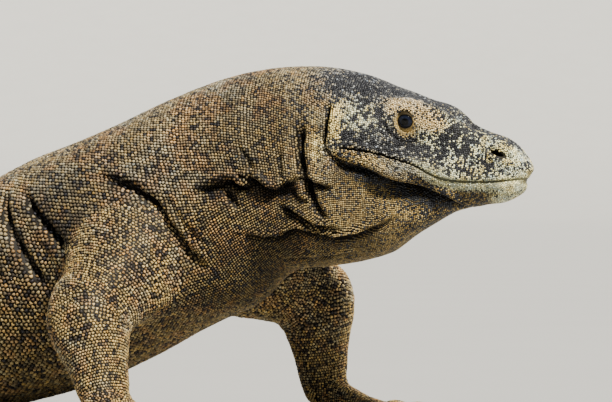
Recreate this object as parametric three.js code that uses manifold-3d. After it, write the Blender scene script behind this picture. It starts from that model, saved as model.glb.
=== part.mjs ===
// A komodo dragon at life size, resting on its belly with the chest propped up on the forelegs.
// Millimetres. +X is the way the shoulders face, +Y is the animal's left, +Z is up.
import * as THREE from "three";
import { LoftGeometry } from "three/addons/geometries/LoftGeometry.js";
import { mergeVertices } from "three/addons/utils/BufferGeometryUtils.js";
import Module from "manifold-3d";

const wasm = await Module();
wasm.setup();

// Driving dimensions, along the back from the snout tip.
const EAR = 194; // where the head meets the neck
const SHOULDER = 398;
const HIPS = 1075;
const VENT = 1190; // where the trunk ends and the tail starts
const LENGTH = 2520;
const HEAD_TURN = 12; // degrees that the head faces left of the trunk
const GAP = 0.36; // between neighbouring solids
const SOLE = 1.6; // how much of each belly, tail and foot curve is pressed flat on the floor
const DEGREE = Math.PI / 180;

// How the body changes along its length: distance from the snout tip, height of the centre line,
// half width, reach above and below the centre line, squareness (2 is an ellipse).
const BODY = [
  [0, 247, 27, 12, 20, 2.5],
  [15, 249, 33, 26, 30, 2.5],
  [40, 251.5, 37, 36, 36, 2.4],
  [70, 254, 40, 50.5, 46, 2.5],
  [100, 256, 46, 65, 64.5, 2.65],
  [130, 258, 53, 71, 87, 2.65],
  [165, 259, 62, 84, 97, 2.5],
  [205, 257, 70, 93, 100, 2.35],
  [260, 248, 77, 97.5, 99, 2.2],
  [320, 230, 86, 97, 118, 2.2],
  [385, 204, 104, 97, 116, 2.2],
  [470, 167, 122, 107, 113, 2.3],
  [560, 138, 136, 100, 113, 2.4],
  [680, 117, 142, 94, 113.5, 2.5],
  [820, 101, 134, 89, 102, 2.5],
  [960, 85, 112, 83, 86.5, 2.4],
  [1080, 76, 88, 79, 77.6, 2.3],
  [1190, 68.4, 69, 72, 70, 2.2],
  [1330, 59, 55, 60, 60.6, 2.1],
  [1600, 47.4, 38, 48, 49, 2],
  [1950, 34.4, 25, 35, 36, 2],
  [2300, 20.4, 13.5, 21, 22, 2],
  [2520, 7.2, 4.5, 8, 8.8, 2],
];

// Which way the body faces, in degrees left of +X, by distance from the snout tip.
const FACING = [
  [0, HEAD_TURN],
  [200, HEAD_TURN],
  [300, 7],
  [392, 0],
  [600, -7],
  [900, -9],
  [1190, -2],
  [1450, 14],
  [1750, 24],
  [2050, 14],
  [2300, -6],
  [2520, -22],
];

// Muscles and ridges: distance from the snout tip, degrees round from the top of the back,
// length, width and height of the swelling.
const SWELLINGS = {
  brow: [102, 38, 30, 10, 11],
  brow_front: [83, 40, 17, 10, 6],
  crown_dip: [104, 0, 13, 17, -8],
  snout_dip: [58, 18, 18, 14, -7],
  snout_ridge: [56, 34, 24, 11, 2],
  nostril: [24, 60, 13, 10, 3],
  cheek_hollow: [84, 68, 24, 13, -4],
  jaw_muscle: [152, 66, 24, 24, 6],
  eye_hollow: [112, 59, 13, 9, -3],
  jaw_edge: [112, 104, 50, 10, 6],
  under_jaw: [116, 122, 46, 12, -9],
  neck_swelling: [256, 78, 44, 40, 7],
  neck_pouch: [300, 112, 26, 24, 7],
  shoulder_blade: [400, 58, 60, 52, 5],
  hip: [1085, 50, 70, 40, 5],
};

// The mouth line and the lower edge of the jaw, as distance back from the snout tip and height.
const MOUTH = [
  [-20, 243],
  [2, 241],
  [13, 238.8],
  [27, 237.6],
  [43, 237.6],
  [59, 238.3],
  [73, 240.6],
  [86, 246],
  [96, 251.8],
  [105, 255.6],
  [119, 260.4],
  [135, 265.2],
  [152, 268.4],
  [163, 269.2],
];
const JAW_EDGE = [
  [167, 263],
  [159, 253.5],
  [138, 245],
  [111, 235],
  [85, 226],
  [69, 218.5],
  [56, 209],
  [48, 196],
];

const NOSE_LENGTH = 26; // over which the snout rounds off to its tip
const NOSE_SQUARENESS = 2.4;
const EYE = { at: 110.5, turn: 50, radius: 9.2, depth: 5.4 };
const NOSTRIL = { at: 22, turn: 66, size: [7.4, 3.2, 6], tilt: -14 };
const EAR_SLIT = { at: 179.5, turn: 63, size: [2.4, 19, 7], tilt: 6 };

// Legs: where each has its shoulder or hip, its elbow or knee, and its wrist or ankle, as
// distance ahead of the shoulders or hips, distance out to the side, and height.
const FORELEGS = {
  right: [
    [34, 58, 184],
    [26, 150, 112],
    [62, 172, 34],
  ],
  left: [
    [36, 58, 180],
    [95, 158, 124],
    [98, 172, 36],
  ],
};
const HINDLEGS = {
  right: [
    [4, 42, 84],
    [88, 158, 88],
    [26, 205, 32],
  ],
  left: [
    [4, 42, 84],
    [70, 168, 90],
    [4, 210, 32],
  ],
};

// How thick each part of a leg is along its length: share of the length, half width in the plane
// it bends in, half width across that plane.
const ARM_THICKNESS = [
  [
    [0, 58, 50],
    [0.4, 55, 47],
    [0.75, 43, 38],
    [1, 35, 32],
  ],
  [
    [0, 34, 31],
    [0.25, 36, 32],
    [0.65, 28, 25],
    [1, 24, 20],
  ],
];
const LEG_THICKNESS = [
  [
    [0, 66, 56],
    [0.4, 64, 55],
    [0.75, 53, 47],
    [1, 40, 38],
  ],
  [
    [0, 38, 36],
    [0.3, 41, 36],
    [0.7, 31, 27],
    [1, 25, 22],
  ],
];

// Palms and soles, from the wrist or ankle: degrees turned out, then rows along them of distance,
// height, half width and half height.
const PALM_ROWS = [
  [0, 30, 23, 19],
  [20, 21, 27, 17],
  [42, 12, 33, 13.5],
  [60, 9, 32, 10.5],
  [72, 6, 20, 6],
];
const SOLE_ROWS = [
  [0, 29, 23, 20],
  [24, 20, 28, 17],
  [52, 12.5, 34, 14],
  [74, 9.5, 33, 11],
  [88, 6, 21, 6],
];
const HANDS = { right: 8, left: 14 };
const FEET = { right: 24, left: 26 };
// Toes, from the inner one out: how far they turn out, their length, and where they leave the
// palm, as distances along and across it.
const FINGERS = [
  [-44, 36, 44, -24],
  [-20, 48, 60, -17],
  [0, 52, 64, 0],
  [22, 48, 60, 17],
  [52, 38, 42, 25],
];
const TOES = [
  [-34, 38, 62, -23],
  [-14, 56, 74, -15],
  [4, 70, 77, 0],
  [22, 82, 73, 15],
  [62, 54, 34, 27],
];
const TOE_RADIUS = 9;
const CLAW = { length: 27, radius: 5, rise: 4.5 };

const BODY_SIDES = 24;
const TAIL_SIDES = 14;
const LIMB_SIDES = 10;
const PAW_SIDES = 8;
const TOE_SIDES = 6;
const CLAW_SIDES = 5;

// Smooth curve through rows of [key, value, value, ...], with slopes from the neighbouring rows.
function through(rows) {
  const slope = rows.map((row, i) => {
    const a = rows[Math.max(i - 1, 0)];
    const b = rows[Math.min(i + 1, rows.length - 1)];
    return row.map((_, c) => (b[c] - a[c]) / (b[0] - a[0]));
  });
  return (key) => {
    let i = 0;
    while (i < rows.length - 2 && rows[i + 1][0] < key) i++;
    const span = rows[i + 1][0] - rows[i][0];
    const t = THREE.MathUtils.clamp((key - rows[i][0]) / span, 0, 1);
    const t2 = t * t;
    const t3 = t2 * t;
    return rows[i].map(
      (a, c) =>
        (2 * t3 - 3 * t2 + 1) * a +
        (t3 - 2 * t2 + t) * span * slope[i][c] +
        (3 * t2 - 2 * t3) * rows[i + 1][c] +
        (t3 - t2) * span * slope[i + 1][c],
    );
  };
}

const bodyAt = through(BODY);
const facingAt = through(FACING);

// The centre line, walked back from the snout in short steps, with the shoulders over the origin.
const STEP = 2;
function walkSpine() {
  const line = [];
  const at = new THREE.Vector2(0, 0);
  for (let s = 0; s <= LENGTH; s += STEP) {
    const rise = (bodyAt(s + STEP)[1] - bodyAt(Math.max(s - STEP, 0))[1]) / (s ? 2 * STEP : STEP);
    const turn = facingAt(s)[1] * DEGREE;
    const level = Math.sqrt(1 - rise * rise);
    const ahead = new THREE.Vector3(Math.cos(turn) * level, Math.sin(turn) * level, -rise);
    const left = new THREE.Vector3(-Math.sin(turn), Math.cos(turn), 0);
    line.push({
      centre: new THREE.Vector3(at.x, at.y, bodyAt(s)[1]),
      ahead,
      left,
      up: new THREE.Vector3().crossVectors(ahead, left),
    });
    at.x -= ahead.x * STEP;
    at.y -= ahead.y * STEP;
  }
  const origin = line[Math.round(SHOULDER / STEP)].centre.clone().setZ(0);
  line.forEach((frame) => frame.centre.sub(origin));
  return line;
}
const SPINE = walkSpine();

function spineAt(s) {
  const i = THREE.MathUtils.clamp(s / STEP, 0, SPINE.length - 1.001);
  const low = SPINE[Math.floor(i)];
  const high = SPINE[Math.floor(i) + 1];
  const t = i - Math.floor(i);
  return {
    centre: low.centre.clone().lerp(high.centre, t),
    left: low.left.clone().lerp(high.left, t).normalize(),
    up: low.up.clone().lerp(high.up, t).normalize(),
  };
}

// A point of the skin: s along the back, turn in radians round from the top, left side positive.
function skin(s, turn, extra = 0) {
  const [, , width, above, below, square] = bodyAt(s);
  const nose =
    s < NOSE_LENGTH
      ? (1 - (1 - s / NOSE_LENGTH) ** NOSE_SQUARENESS) ** (1 / NOSE_SQUARENESS)
      : 1;
  const side = Math.sin(turn);
  const top = Math.cos(turn);
  const tall = top > 0 ? above : below;
  let radius =
    nose *
    ((Math.abs(side) / width) ** square + (Math.abs(top) / tall) ** square) ** (-1 / square);
  const round = Math.abs(turn) / DEGREE;
  for (const [at, degrees, long, wide, high] of Object.values(SWELLINGS)) {
    const along = (s - at) / long;
    const across = ((round - degrees) * DEGREE * radius) / wide;
    radius += nose * high * Math.exp(-along * along - across * across);
  }
  radius += extra;
  const { centre, left, up } = spineAt(s);
  return centre.clone().addScaledVector(left, side * radius).addScaledVector(up, top * radius);
}

function bodyRing(s, sides, extra = 0) {
  const ring = [];
  for (let j = 0; j < sides; j++) {
    let turn = (j / sides) * 2 * Math.PI;
    if (turn > Math.PI) turn -= 2 * Math.PI;
    ring.push(skin(s, turn, extra));
  }
  return ring;
}

// Solids from loft rings, and back to three.js geometry.
function solidOf(geometry) {
  const bare = new THREE.BufferGeometry();
  bare.setAttribute("position", geometry.attributes.position);
  bare.setIndex(geometry.index);
  const merged = mergeVertices(bare, 1e-3);
  return new wasm.Manifold(
    new wasm.Mesh({
      numProp: 3,
      vertProperties: merged.attributes.position.array,
      triVerts: new Uint32Array(merged.index.array),
    }),
  );
}

function geometryOf(solid) {
  const mesh = solid.getMesh();
  const geometry = new THREE.BufferGeometry();
  geometry.setAttribute("position", new THREE.BufferAttribute(mesh.vertProperties, 3));
  geometry.setIndex(new THREE.BufferAttribute(mesh.triVerts, 1));
  geometry.computeVertexNormals();
  return geometry;
}

function loft(rings) {
  const capped = new LoftGeometry(rings, { capStart: true, capEnd: true });
  const solid = solidOf(capped);
  if (solid.volume() > 0) return solid;
  return solidOf(
    new LoftGeometry(
      rings.map((ring) => [...ring].reverse()),
      { capStart: true, capEnd: true },
    ),
  );
}

function largest(solid) {
  return solid.decompose().sort((a, b) => b.volume() - a.volume())[0];
}

// Everything below the floor is cut away, which leaves the soles, belly and tail flat there.
const FLOOR = solidOf(new THREE.BoxGeometry(6000, 6000, 400).translate(0, 0, -200));
const onFloor = (solid) => largest(solid.subtract(FLOOR));

// Distances at which the body has rings, closer together where it changes faster.
function ringPlaces(from, to, step) {
  const count = Math.max(1, Math.round((to - from) / step));
  return Array.from({ length: count + 1 }, (_, i) => from + ((to - from) * i) / count);
}
const NOSE_RINGS = [0.3, 1.8, 5, 10, 17, 25, 33];
const HEAD_RINGS = [...NOSE_RINGS, ...ringPlaces(42, EAR, 10.8)];

function bodyPiece(from, to, step, sides) {
  const places = ringPlaces(from + GAP / 2, to - GAP / 2, step);
  return onFloor(loft(places.map((s) => bodyRing(s, sides))));
}

// A plate seen from the animal's side, through the whole head: points are distance back and height.
function sidePlate(points) {
  const shape = new THREE.Shape(points.map(([back, height]) => new THREE.Vector2(-back, height)));
  const plate = new THREE.ExtrudeGeometry(shape, { depth: 300, bevelEnabled: false });
  plate.translate(0, 0, -150).rotateX(Math.PI / 2).rotateZ(HEAD_TURN * DEGREE);
  const tip = spineAt(0).centre;
  return solidOf(plate.translate(tip.x, tip.y, 0));
}

const smoothLine = (points, count, lift) => {
  const curve = new THREE.CatmullRomCurve3(points.map(([a, b]) => new THREE.Vector3(a, b, 0)));
  return curve.getPoints(count).map((p) => [p.x, p.y + lift]);
};

// The place and outward direction of a feature on one side of the head (side is 1 left, -1 right).
function spot(at, turn, side) {
  const angle = side * turn * DEGREE;
  const here = skin(at, angle);
  const along = skin(at + 1, angle).sub(skin(at - 1, angle));
  const round = skin(at, angle + 0.01).sub(skin(at, angle - 0.01));
  const outward = new THREE.Vector3().crossVectors(round, along).normalize();
  if (outward.dot(here.clone().sub(spineAt(at).centre)) < 0) outward.negate();
  return { here, outward, along: along.normalize() };
}

// An egg-shaped cutter lying in the skin: size along the head, round it and into it.
function eggCutter({ at, turn, size, tilt }, side) {
  const { here, outward, along } = spot(at, turn, side);
  const level = along.clone().addScaledVector(outward, -along.dot(outward)).normalize();
  const across = new THREE.Vector3().crossVectors(outward, level);
  const frame = new THREE.Matrix4().makeBasis(level, across, outward).setPosition(here);
  const egg = new THREE.SphereGeometry(1, 8, 5).scale(...size);
  return solidOf(egg.rotateZ(side * tilt * DEGREE).applyMatrix4(frame));
}

function eyeBall(side, extra = 0) {
  const { here, outward } = spot(EYE.at, EYE.turn, side);
  const centre = here.addScaledVector(outward, -EYE.depth);
  const ball = new THREE.SphereGeometry(EYE.radius + extra, 12, 7);
  return solidOf(ball.translate(centre.x, centre.y, centre.z));
}

function headSolids() {
  let whole = loft(
    HEAD_RINGS.map((s, i) => bodyRing(i === HEAD_RINGS.length - 1 ? s - GAP / 2 : s, BODY_SIDES)),
  );
  for (const side of [1, -1]) {
    whole = whole.subtract(eggCutter(NOSTRIL, side)).subtract(eggCutter(EAR_SLIT, side));
  }
  const jawLine = (lift) => smoothLine(JAW_EDGE, 10, lift);
  const mouthLine = (lift) => smoothLine(MOUTH, 14, lift);
  const belowMouth = sidePlate([
    [-60, 120],
    [-60, MOUTH[0][1] + GAP / 2],
    ...mouthLine(GAP / 2),
    [JAW_EDGE[0][0] + GAP / 2, JAW_EDGE[0][1] + GAP / 2],
    [420, 240 + GAP / 2],
    [420, 120],
  ]);
  const jawPlate = sidePlate([
    [-60, MOUTH[0][1] - GAP / 2],
    ...mouthLine(-GAP / 2),
    ...jawLine(GAP / 2),
    [JAW_EDGE.at(-1)[0] - GAP, 120],
    [-60, 120],
  ]);
  const throatPlate = sidePlate([
    [JAW_EDGE.at(-1)[0] + GAP, 120],
    ...jawLine(-GAP / 2).reverse(),
    [420, 240 - GAP / 2],
    [420, 120],
  ]);
  const eyes = [1, -1].map((side) => eyeBall(side, GAP));
  const skull = eyes.reduce((solid, eye) => solid.subtract(eye), whole.subtract(belowMouth));
  return {
    head: largest(skull),
    lower_jaw: largest(whole.intersect(jawPlate)),
    throat: largest(whole.intersect(throatPlate)),
  };
}

// A level frame under the spine, looking along it: ahead and out to one side of it.
function levelFrame(s, side) {
  const turn = facingAt(s)[1] * DEGREE;
  const { centre } = spineAt(s);
  return {
    turn,
    place: (ahead, out, height) =>
      new THREE.Vector3(
        centre.x + ahead * Math.cos(turn) - side * out * Math.sin(turn),
        centre.y + ahead * Math.sin(turn) + side * out * Math.cos(turn),
        height,
      ),
  };
}

// One part of a leg from joint to joint, with a round end at each.
const ROUNDING = [
  [1, 0.1],
  [0.8, 0.6],
  [0.4, 0.917],
];
function limbSolid([start, end], hinge, thickness, extra = 0) {
  const along = end.clone().sub(start);
  const b = hinge.clone().addScaledVector(along, -hinge.dot(along) / along.lengthSq()).normalize();
  const a = new THREE.Vector3().crossVectors(b, along).normalize();
  const thick = through(thickness);
  const ring = (share, size, beyond) => {
    const [, inPlane, across] = thick(share);
    const centre = start.clone().addScaledVector(along, share);
    centre.addScaledVector(along, (beyond * (inPlane + extra)) / along.length());
    return ovalRing(centre, a, (inPlane + extra) * size, b, (across + extra) * size, LIMB_SIDES);
  };
  return loft([
    ...ROUNDING.map(([beyond, size]) => ring(0, size, -beyond)),
    ...[0, 0.33, 0.67, 1].map((share) => ring(share, 1, 0)),
    ...ROUNDING.map(([beyond, size]) => ring(1, size, beyond)).reverse(),
  ]);
}

function limbSolids(joints, thickness, extra = 0) {
  const bone = (i) => joints[i + 1].clone().sub(joints[i]).normalize();
  const hinge = new THREE.Vector3().crossVectors(bone(0), bone(1)).normalize();
  return thickness.map((rows, i) => limbSolid(joints.slice(i, i + 2), hinge, rows, extra));
}

function ovalRing(centre, a, halfA, b, halfB, sides) {
  return Array.from({ length: sides }, (_, j) => {
    const turn = (j / sides) * 2 * Math.PI;
    return centre
      .clone()
      .addScaledVector(a, Math.cos(turn) * halfA)
      .addScaledVector(b, Math.sin(turn) * halfB);
  });
}

// A rounded bar along the floor from rows of [distance, height, half width, half height].
function floorBar(start, facing, rows, sides) {
  const ahead = new THREE.Vector3(Math.cos(facing), Math.sin(facing), 0);
  const left = new THREE.Vector3(-Math.sin(facing), Math.cos(facing), 0);
  const up = new THREE.Vector3(0, 0, 1);
  return loft(
    rows.map(([far, height, wide, tall]) => {
      const centre = start.clone().addScaledVector(ahead, far).setZ(height);
      return ovalRing(centre, left, wide, up, tall, sides);
    }),
  );
}

function pawSolids(wrist, turn, rows, digits, side) {
  const start = wrist.clone().setZ(0);
  const ahead = new THREE.Vector3(Math.cos(turn), Math.sin(turn), 0);
  const outer = new THREE.Vector3(-Math.sin(turn), Math.cos(turn), 0).multiplyScalar(side);
  let paw = floorBar(start, turn, rows, PAW_SIDES);
  const claws = [];
  for (const [splay, reach, far, out] of digits) {
    const knuckle = start.clone().addScaledVector(ahead, far).addScaledVector(outer, out);
    const aim = turn + side * splay * DEGREE;
    const r = TOE_RADIUS;
    paw = paw.add(
      floorBar(
        knuckle,
        aim,
        [
          [-10, r, r * 0.8, r * 0.8],
          [reach * 0.2, r * 1.15, r, r * 1.1],
          [reach * 0.75, r * 0.95, r * 0.84, r],
          [reach, r * 0.88, r * 0.56, r * 0.66],
        ],
        TOE_SIDES,
      ),
    );
    const { length: long, radius, rise } = CLAW;
    const foot = knuckle.clone().setX(knuckle.x + Math.cos(aim) * (reach + GAP));
    foot.y += Math.sin(aim) * (reach + GAP);
    claws.push(
      floorBar(
        foot,
        aim,
        [
          [0, r * 0.88, radius * 0.8, radius],
          [long * 0.35, r * 0.9 + rise * 0.6, radius * 0.66, radius * 0.86],
          [long * 0.75, r * 0.6 + rise * 0.2, radius * 0.38, radius * 0.5],
          [long, 0.9, radius * 0.1, radius * 0.14],
        ],
        CLAW_SIDES,
      ),
    );
  }
  return { paw: onFloor(paw), claws: claws.map(onFloor) };
}

// Skin colours by part, and how dull each one is.
const SKIN = new THREE.MeshStandardMaterial({ color: 0x625642, roughness: 0.82 });
const FACE = new THREE.MeshStandardMaterial({ color: 0x6f6c60, roughness: 0.78 });
const JAW = new THREE.MeshStandardMaterial({ color: 0x8f8a70, roughness: 0.75 });
const HORN = new THREE.MeshStandardMaterial({ color: 0x2b2621, roughness: 0.45 });
const EYE_DARK = new THREE.MeshStandardMaterial({ color: 0x120d09, roughness: 0.08 });

const dragon = new THREE.Group();
function add(name, solid, material) {
  const mesh = new THREE.Mesh(geometryOf(solid), material);
  mesh.name = name;
  dragon.add(mesh);
}

const head = headSolids();
add("head", head.head, FACE);
add("lower_jaw", head.lower_jaw, JAW);
add("throat", head.throat, SKIN);
for (const [name, side] of [["left", 1], ["right", -1]]) {
  add(`eye_${name}`, eyeBall(side), EYE_DARK);
}

const TRUNK_PIECES = [
  ["neck", EAR, 372, 22],
  ["chest", 372, 620, 28],
  ["belly", 620, 930, 38],
  ["hips", 930, VENT, 32],
];
for (const [name, from, to, step] of TRUNK_PIECES) {
  add(name, bodyPiece(from, to, step, BODY_SIDES), SKIN);
}
const TAIL_CUTS = [VENT, 1400, 1630, 1880, 2150, LENGTH - 4];
TAIL_CUTS.slice(1).forEach((to, i) => {
  add(`tail_${i + 1}`, bodyPiece(TAIL_CUTS[i], to, 62, TAIL_SIDES), SKIN);
});

// Legs stop at the trunk's skin, so the trunk is grown by a gap and cut out of them.
const trunkCutter = TRUNK_PIECES.map(([, from, to, step]) =>
  loft(ringPlaces(from, to, step).map((s) => bodyRing(s, BODY_SIDES, GAP))),
).reduce((a, b) => a.add(b));

function addLeg({ names, root, joints, thickness, turnOut, pawRows, digits }, sideName) {
  const side = sideName === "left" ? 1 : -1;
  const frame = levelFrame(root, side);
  const places = joints[sideName].map((row) => frame.place(...row));
  const turn = frame.turn + side * turnOut[sideName] * DEGREE;
  const { paw, claws } = pawSolids(places[2], turn, pawRows, digits, side);
  const [upper, lower] = limbSolids(places, thickness);
  const [upperCutter, lowerCutter] = limbSolids(places, thickness, GAP);
  const [upperName, lowerName, pawName, clawName] = names;
  const shin = lower.subtract(trunkCutter).subtract(upperCutter);
  add(`${upperName}_${sideName}`, onFloor(upper.subtract(trunkCutter)), SKIN);
  add(`${lowerName}_${sideName}`, onFloor(shin), SKIN);
  add(`${pawName}_${sideName}`, onFloor(paw.subtract(lowerCutter).subtract(upperCutter)), SKIN);
  claws.forEach((claw, i) => add(`${clawName}_${sideName}_${i + 1}`, claw, HORN));
}

const FORELEG = {
  names: ["upper_arm", "forearm", "hand", "finger_claw"],
  root: SHOULDER,
  joints: FORELEGS,
  thickness: ARM_THICKNESS,
  turnOut: HANDS,
  pawRows: PALM_ROWS,
  digits: FINGERS,
};
const HINDLEG = {
  names: ["thigh", "shin", "foot", "toe_claw"],
  root: HIPS,
  joints: HINDLEGS,
  thickness: LEG_THICKNESS,
  turnOut: FEET,
  pawRows: SOLE_ROWS,
  digits: TOES,
};
for (const sideName of ["right", "left"]) {
  addLeg(FORELEG, sideName);
  addLeg(HINDLEG, sideName);
}

// The part's origin is the middle of its footprint, on the floor.
const box = new THREE.Box3().setFromObject(dragon);
const middle = box.getCenter(new THREE.Vector3());
dragon.position.set(-middle.x, -middle.y, 0);

export default dragon;
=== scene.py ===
"""A life-size komodo dragon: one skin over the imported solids, with scales, eyes and claws.

Every shape is worked out in millimetres in the animal's own frame (shoulders over the origin, +X
the way they face, +Y its left, +Z up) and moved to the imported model's frame by ORIGIN.
"""

import math
from functools import partial

import bpy
import numpy as np
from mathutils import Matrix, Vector


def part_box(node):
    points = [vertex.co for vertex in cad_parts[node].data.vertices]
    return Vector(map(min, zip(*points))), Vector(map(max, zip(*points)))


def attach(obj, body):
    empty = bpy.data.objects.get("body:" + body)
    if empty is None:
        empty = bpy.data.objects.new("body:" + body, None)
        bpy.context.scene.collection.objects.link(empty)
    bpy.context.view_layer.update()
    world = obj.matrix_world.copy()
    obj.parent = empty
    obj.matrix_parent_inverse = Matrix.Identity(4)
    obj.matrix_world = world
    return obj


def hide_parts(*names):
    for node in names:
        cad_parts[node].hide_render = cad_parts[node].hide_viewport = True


bl_info = {
    "name": "Komodo dragon",
    "version": (1, 0, 0),
    "blender": (4, 5, 0),
    "location": "View3D > Sidebar > Dragon",
    "description": "Skin, scales, eyes and claws for a life-size komodo dragon",
    "category": "Add Mesh",
}

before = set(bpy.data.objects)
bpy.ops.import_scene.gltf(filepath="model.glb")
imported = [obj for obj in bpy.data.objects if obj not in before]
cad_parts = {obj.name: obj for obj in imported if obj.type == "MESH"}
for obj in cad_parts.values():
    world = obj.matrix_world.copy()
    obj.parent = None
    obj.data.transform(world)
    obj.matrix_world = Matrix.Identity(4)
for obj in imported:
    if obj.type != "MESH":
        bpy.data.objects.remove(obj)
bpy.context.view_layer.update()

# Driving dimensions, in millimetres along the back from the snout tip.
SHOULDER = 398.0
HIPS = 1075.0
LENGTH = 2520.0
FACE_END = 220.0  # behind the ear
LEG_REACH = (250.0, 1250.0)  # where a leg's fillet can swell the body
HEAD_TURN = 12.0  # degrees left of +X
COAT = 0.9  # how far the scales stand over the skin
DEGREE = math.pi / 180.0

# Distance from the snout tip, height of the centre line, half width, reach above and below the
# centre line, squareness of the section (2 is an ellipse).
BODY = [
    (0, 247, 27, 12, 20, 2.5),
    (15, 249, 33, 26, 30, 2.5),
    (40, 251.5, 37, 36, 36, 2.4),
    (70, 254, 40, 50.5, 46, 2.5),
    (100, 256, 46, 65, 64.5, 2.65),
    (130, 258, 53, 71, 87, 2.65),
    (165, 259, 62, 84, 97, 2.5),
    (205, 257, 70, 93, 100, 2.35),
    (260, 248, 77, 97.5, 99, 2.2),
    (320, 230, 86, 97, 118, 2.2),
    (385, 204, 104, 97, 116, 2.2),
    (470, 167, 122, 107, 113, 2.3),
    (560, 138, 136, 100, 113, 2.4),
    (680, 117, 142, 94, 113.5, 2.5),
    (820, 101, 134, 89, 102, 2.5),
    (960, 85, 112, 83, 86.5, 2.4),
    (1080, 76, 88, 79, 77.6, 2.3),
    (1190, 68.4, 69, 72, 70, 2.2),
    (1330, 59, 55, 60, 60.6, 2.1),
    (1600, 47.4, 38, 48, 49, 2),
    (1950, 34.4, 25, 35, 36, 2),
    (2300, 20.4, 13.5, 21, 22, 2),
    (2520, 7.2, 4.5, 8, 8.8, 2),
]

# Which way the body faces, in degrees left of +X.
FACING = [
    (0, HEAD_TURN), (200, HEAD_TURN), (300, 7), (392, 0), (600, -7), (900, -9), (1190, -2),
    (1450, 14), (1750, 24), (2050, 14), (2300, -6), (2520, -22),
]

# Swellings: distance from the snout tip, degrees round from the top, length, width, height.
SWELLINGS = {
    "brow": (102, 38, 30, 10, 11),
    "brow_front": (83, 40, 17, 10, 6),
    "crown_dip": (104, 0, 13, 17, -8),
    "snout_dip": (58, 18, 18, 14, -7),
    "snout_ridge": (56, 34, 24, 11, 2),
    "nostril": (24, 60, 13, 10, 3),
    "cheek_hollow": (84, 68, 24, 13, -4),
    "jaw_muscle": (152, 66, 24, 24, 6),
    "eye_hollow": (112, 59, 13, 9, -3),
    "jaw_edge": (112, 104, 50, 10, 6),
    "under_jaw": (116, 122, 46, 12, -9),
    "neck_swelling": (256, 78, 44, 40, 7),
    "neck_pouch": (300, 112, 26, 24, 7),
    "shoulder_blade": (400, 58, 60, 52, 5),
    "hip": (1085, 50, 70, 40, 5),
}

NOSE_LENGTH = 26.0
NOSE_SQUARENESS = 2.4

# The mouth line: distance back from the snout tip along the head, and height.
MOUTH = [
    (-20, 243), (2, 241), (13, 238.8), (27, 237.6), (43, 237.6), (59, 238.3), (73, 240.6), (86, 246),
    (96, 251.8), (105, 255.6), (119, 260.4), (135, 265.2), (152, 268.4), (166, 269.4), (240, 262),
]
MOUTH_END = 166.0

# Nostrils and eyes: distance from the snout tip, and degrees round from the top.
NOSTRIL_AT = 22.0
NOSTRIL_TURN = 66.0
NOSTRIL_LEAN = 11 * DEGREE  # how steeply a nostril slopes down towards the snout tip
NOSTRIL_HALF = (7.0, 2.3)  # half its length and half its height
NOSTRIL_BARE = (8.0, 3.1)  # the same for the oval that has no scales
EYE_AT = 110.5
EYE_TURN = 50.0
EYE_RADIUS = 9.2
EYE_DEPTH = 5.4  # of the ball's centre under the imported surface
EYE_BARE = (7.9, 7.1)  # half length and half height of the oval that has no scales

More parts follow.
